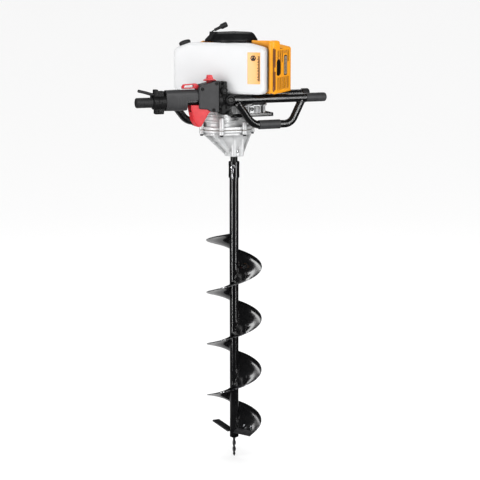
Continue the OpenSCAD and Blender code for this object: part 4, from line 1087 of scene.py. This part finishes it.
def build_starter():
    """The recoil starter's domed shell, its screws, the pull handle and the cord between them."""
    low, high = (corner.z for corner in span("recoil_housing"))
    r = RECOIL_R
    dome = [(0, low), (r - 1, low), (r, low + 1), (r, low + 5), (r - 1.5, low + 8), (53, high - 6.5),
        (50, high - 4), (46.5, high - 2.2), (43, high - 1.6), (0, high - 1.6)]
    lug = [(40, low), (76, low), (76, low + 5), (56, high - 1), (40, high - 1)]
    boss = lathe([(0, low + 2), (6.5, low + 2), (5.5, low + 14), (5.5, low + 24.6), (4.6, low + 26),
        (0, low + 26)], 40)
    ear = lathe([(0, low), (7, low), (7, low + 7), (6, low + 8), (0, low + 8)], 36)
    hub = lathe([(0, high - 4), (17, high - 4), (17, high - 0.8), (15.6, high), (0, high)], 64)
    shapes = [lathe(dome, 96), turned(pillow(lug, 3, -14, 14, 4), LUG_TURN), shifted(boss, -57, 16),
        *thrice(ear), hub]
    cuts = [lathe([(0, low - 3), (50, low - 3), (50, low + 6), (40, high - 5), (0, high - 5)], 64)]
    for k in range(16):
        vent = pillow([(23, -1.8), (38, -2.9), (38, 2.9), (23, 1.8)], 1.5, high - 8, high + 6, 0.5, flat)
        cuts.append(turned(vent, math.tau * k / 16 + math.radians(11)))
    way = CORD_WAY
    cord_hole = moved(drum(2.6, -20, 30, 24), way.to_track_quat("Z", "Y").to_matrix().to_4x4())
    cuts.append(shifted(cord_hole, -57, 16, high - 2))
    cast("recoil_shell", shapes, "black_plastic", ["recoil_housing"], cuts, 0.9, 3, 0.3)
    head = lathe([(0, low + 5), (4, low + 5), (4, low + 9.4), (3.4, low + 10), (2, low + 10, True),
        (2, low + 8, True), (0, low + 8)], 36)
    make("recoil_screws", thrice(head), "bolt_black")
    foot = Vector((-48, 16, high + 3.5))
    stem = [foot + away * way for away in (0, 0.8, 15, 18, 20.5, 35, 36.5, 37)]
    across = 6.8 * way.orthogonal().normalized()
    ribs = [weld_ring(foot + (22 + 3 * k) * way, across, way.cross(across), 0.35) for k in range(4)]
    make("starter_grip", [tube(stem, [3, 3.7, 3.9, 5, 6.8, 7, 6.2, 4.5], 40), *ribs], "black_rubber",
        ["starter_handle"], "pull_handle")
    start = Vector((-57, 16, high - 4))
    middle = Vector((-54.5, 15.7, high + 0.6))
    cord = make("starter_cord", [tube([start, *bend(start, middle, foot + 3 * way, 1.5), foot + 6 * way],
        1.6, 16)], "black_rubber", body=None)
    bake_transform(cord)


# ------------------------------------------------------------ blades
def blade_place(turn, z, pitch, rise):
    """The place of a blade whose inner end meets the shaft."""
    r = span("auger_shaft")[1].x
    return (Matrix.Rotation(math.radians(turn), 4, "Z") @ Matrix.Translation((r + 1, 0, z)) @
        Matrix.Rotation(math.radians(-rise), 4, "Y") @ Matrix.Rotation(math.radians(pitch), 4, "X"))


def build_blades():
    """The two cutting blades with their ground edges, and the bolts of the front one."""
    low = span("auger_flight")[0].z
    length, back, wide, thick = 60, 12, 32, 4.5
    front = back - wide
    section = [(back - 0.4, -thick), (back, 0.4 - thick), (back, -0.4), (back - 0.4, 0), (front + 6, 0),
        (front + 0.6, 1.6 - thick), (front, 0.8 - thick), (front + 0.3, 0.1 - thick), (front + 2, -thick)]
    places = {"front": blade_place(-65, low - 0.5, 21, 3), "rear": blade_place(115, low - 12, 8, 17)}
    shaft = drum(12, 0, 200, 64)
    for name, place in places.items():
        rings = [[(x, y, z) for y, z in section] for x in (0, 0.6, length - 4, length - 0.6, length)]
        plate = moved(skin(rings), place)
        holes = [moved(drum(3.05, -12, 12, 32), place @ Matrix.Translation((x, 6, 0)))
            for x in (21, 45)] if name == "front" else []
        lines = [moved(slab(-2, length + 3, y, y + 0.5, -0.45, 1, 0.1), place) for y in (-9, -4.6)]
        make(name + "_cutting_blade", [plate], "blade_steel", [name + "_blade"], "auger",
            cuts=[shaft, *holes, *lines])
    bolts = []
    for x in (21, 45):
        bolt = [(0, -thick - 3), (4.2, -thick - 3, True), (5, -thick - 2.4, True), (5, -thick, True),
            (3, -thick), (3, 3.5), (3, 4), (4.8, 4, True), (4.8, 7.4, True), (4.2, 7.8, True), (2.9, 7.8),
            (2.9, 8.4), (2, 9), (0, 9)]
        bolts.append(moved(lathe(bolt, 36), places["front"] @ Matrix.Translation((x, 6, 0))))
    make("blade_hex_bolts", bolts, "bright_steel", ["blade_bolts"], "auger")


# ------------------------------------------------------------ parts carried over from the CAD
def soft_shading():
    """Node group that smooths a mesh's shading and keeps its sharp edges."""
    group = bpy.data.node_groups.new("soft_shading", "GeometryNodeTree")
    group.interface.new_socket("Geometry", in_out="INPUT", socket_type="NodeSocketGeometry")
    group.interface.new_socket("Geometry", in_out="OUTPUT", socket_type="NodeSocketGeometry")
    source = group.nodes.new("NodeGroupInput")
    result = group.nodes.new("NodeGroupOutput")
    faces = group.nodes.new("GeometryNodeSetShadeSmooth")
    edges = group.nodes.new("GeometryNodeSetShadeSmooth")
    edges.domain = "EDGE"
    edges.inputs["Shade Smooth"].default_value = False
    angle = group.nodes.new("GeometryNodeInputMeshEdgeAngle")
    wide = group.nodes.new("FunctionNodeCompare")
    wide.operation = "GREATER_THAN"
    wide.inputs["B"].default_value = math.radians(35)
    group.links.new(source.outputs[0], faces.inputs["Geometry"])
    group.links.new(faces.outputs[0], edges.inputs["Geometry"])
    group.links.new(angle.outputs["Unsigned Angle"], wide.inputs["A"])
    group.links.new(wide.outputs[0], edges.inputs["Selection"])
    group.links.new(edges.outputs[0], result.inputs[0])
    return group


def carry_over():
    """The CAD nodes that still show get a bevel on their edges, soft shading and their finish."""
    smooth = soft_shading()
    for part in frame["record"]["subparts"]:
        obj = nodes[part["node"]]
        if obj.hide_render:
            continue
        obj.data.materials.clear()
        obj.data.materials.append(FINISHES[part["material_slot"]])
        weld = obj.modifiers.new("weld", "WELD")
        weld.merge_threshold = 2e-5
        plain = obj.modifiers.new("plain", "DECIMATE")
        plain.decimate_type = "DISSOLVE"
        plain.angle_limit = math.radians(1)
        edge = obj.modifiers.new("edge", "BEVEL")
        edge.width = 0.35 * MM
        edge.segments = 2
        edge.limit_method = "ANGLE"
        edge.angle_limit = math.radians(40)
        soft = obj.modifiers.new("soft", "NODES")
        soft.node_group = smooth


build_bit()
build_coupler()
build_blades()
build_gearbox()
build_clutch_housing()
build_frame()
build_throttle_shell()
build_handgrip()
build_collar()
build_clamp()
build_fasteners()
build_trigger()
build_tank()
build_cover()
build_starter()
carry_over()

import json
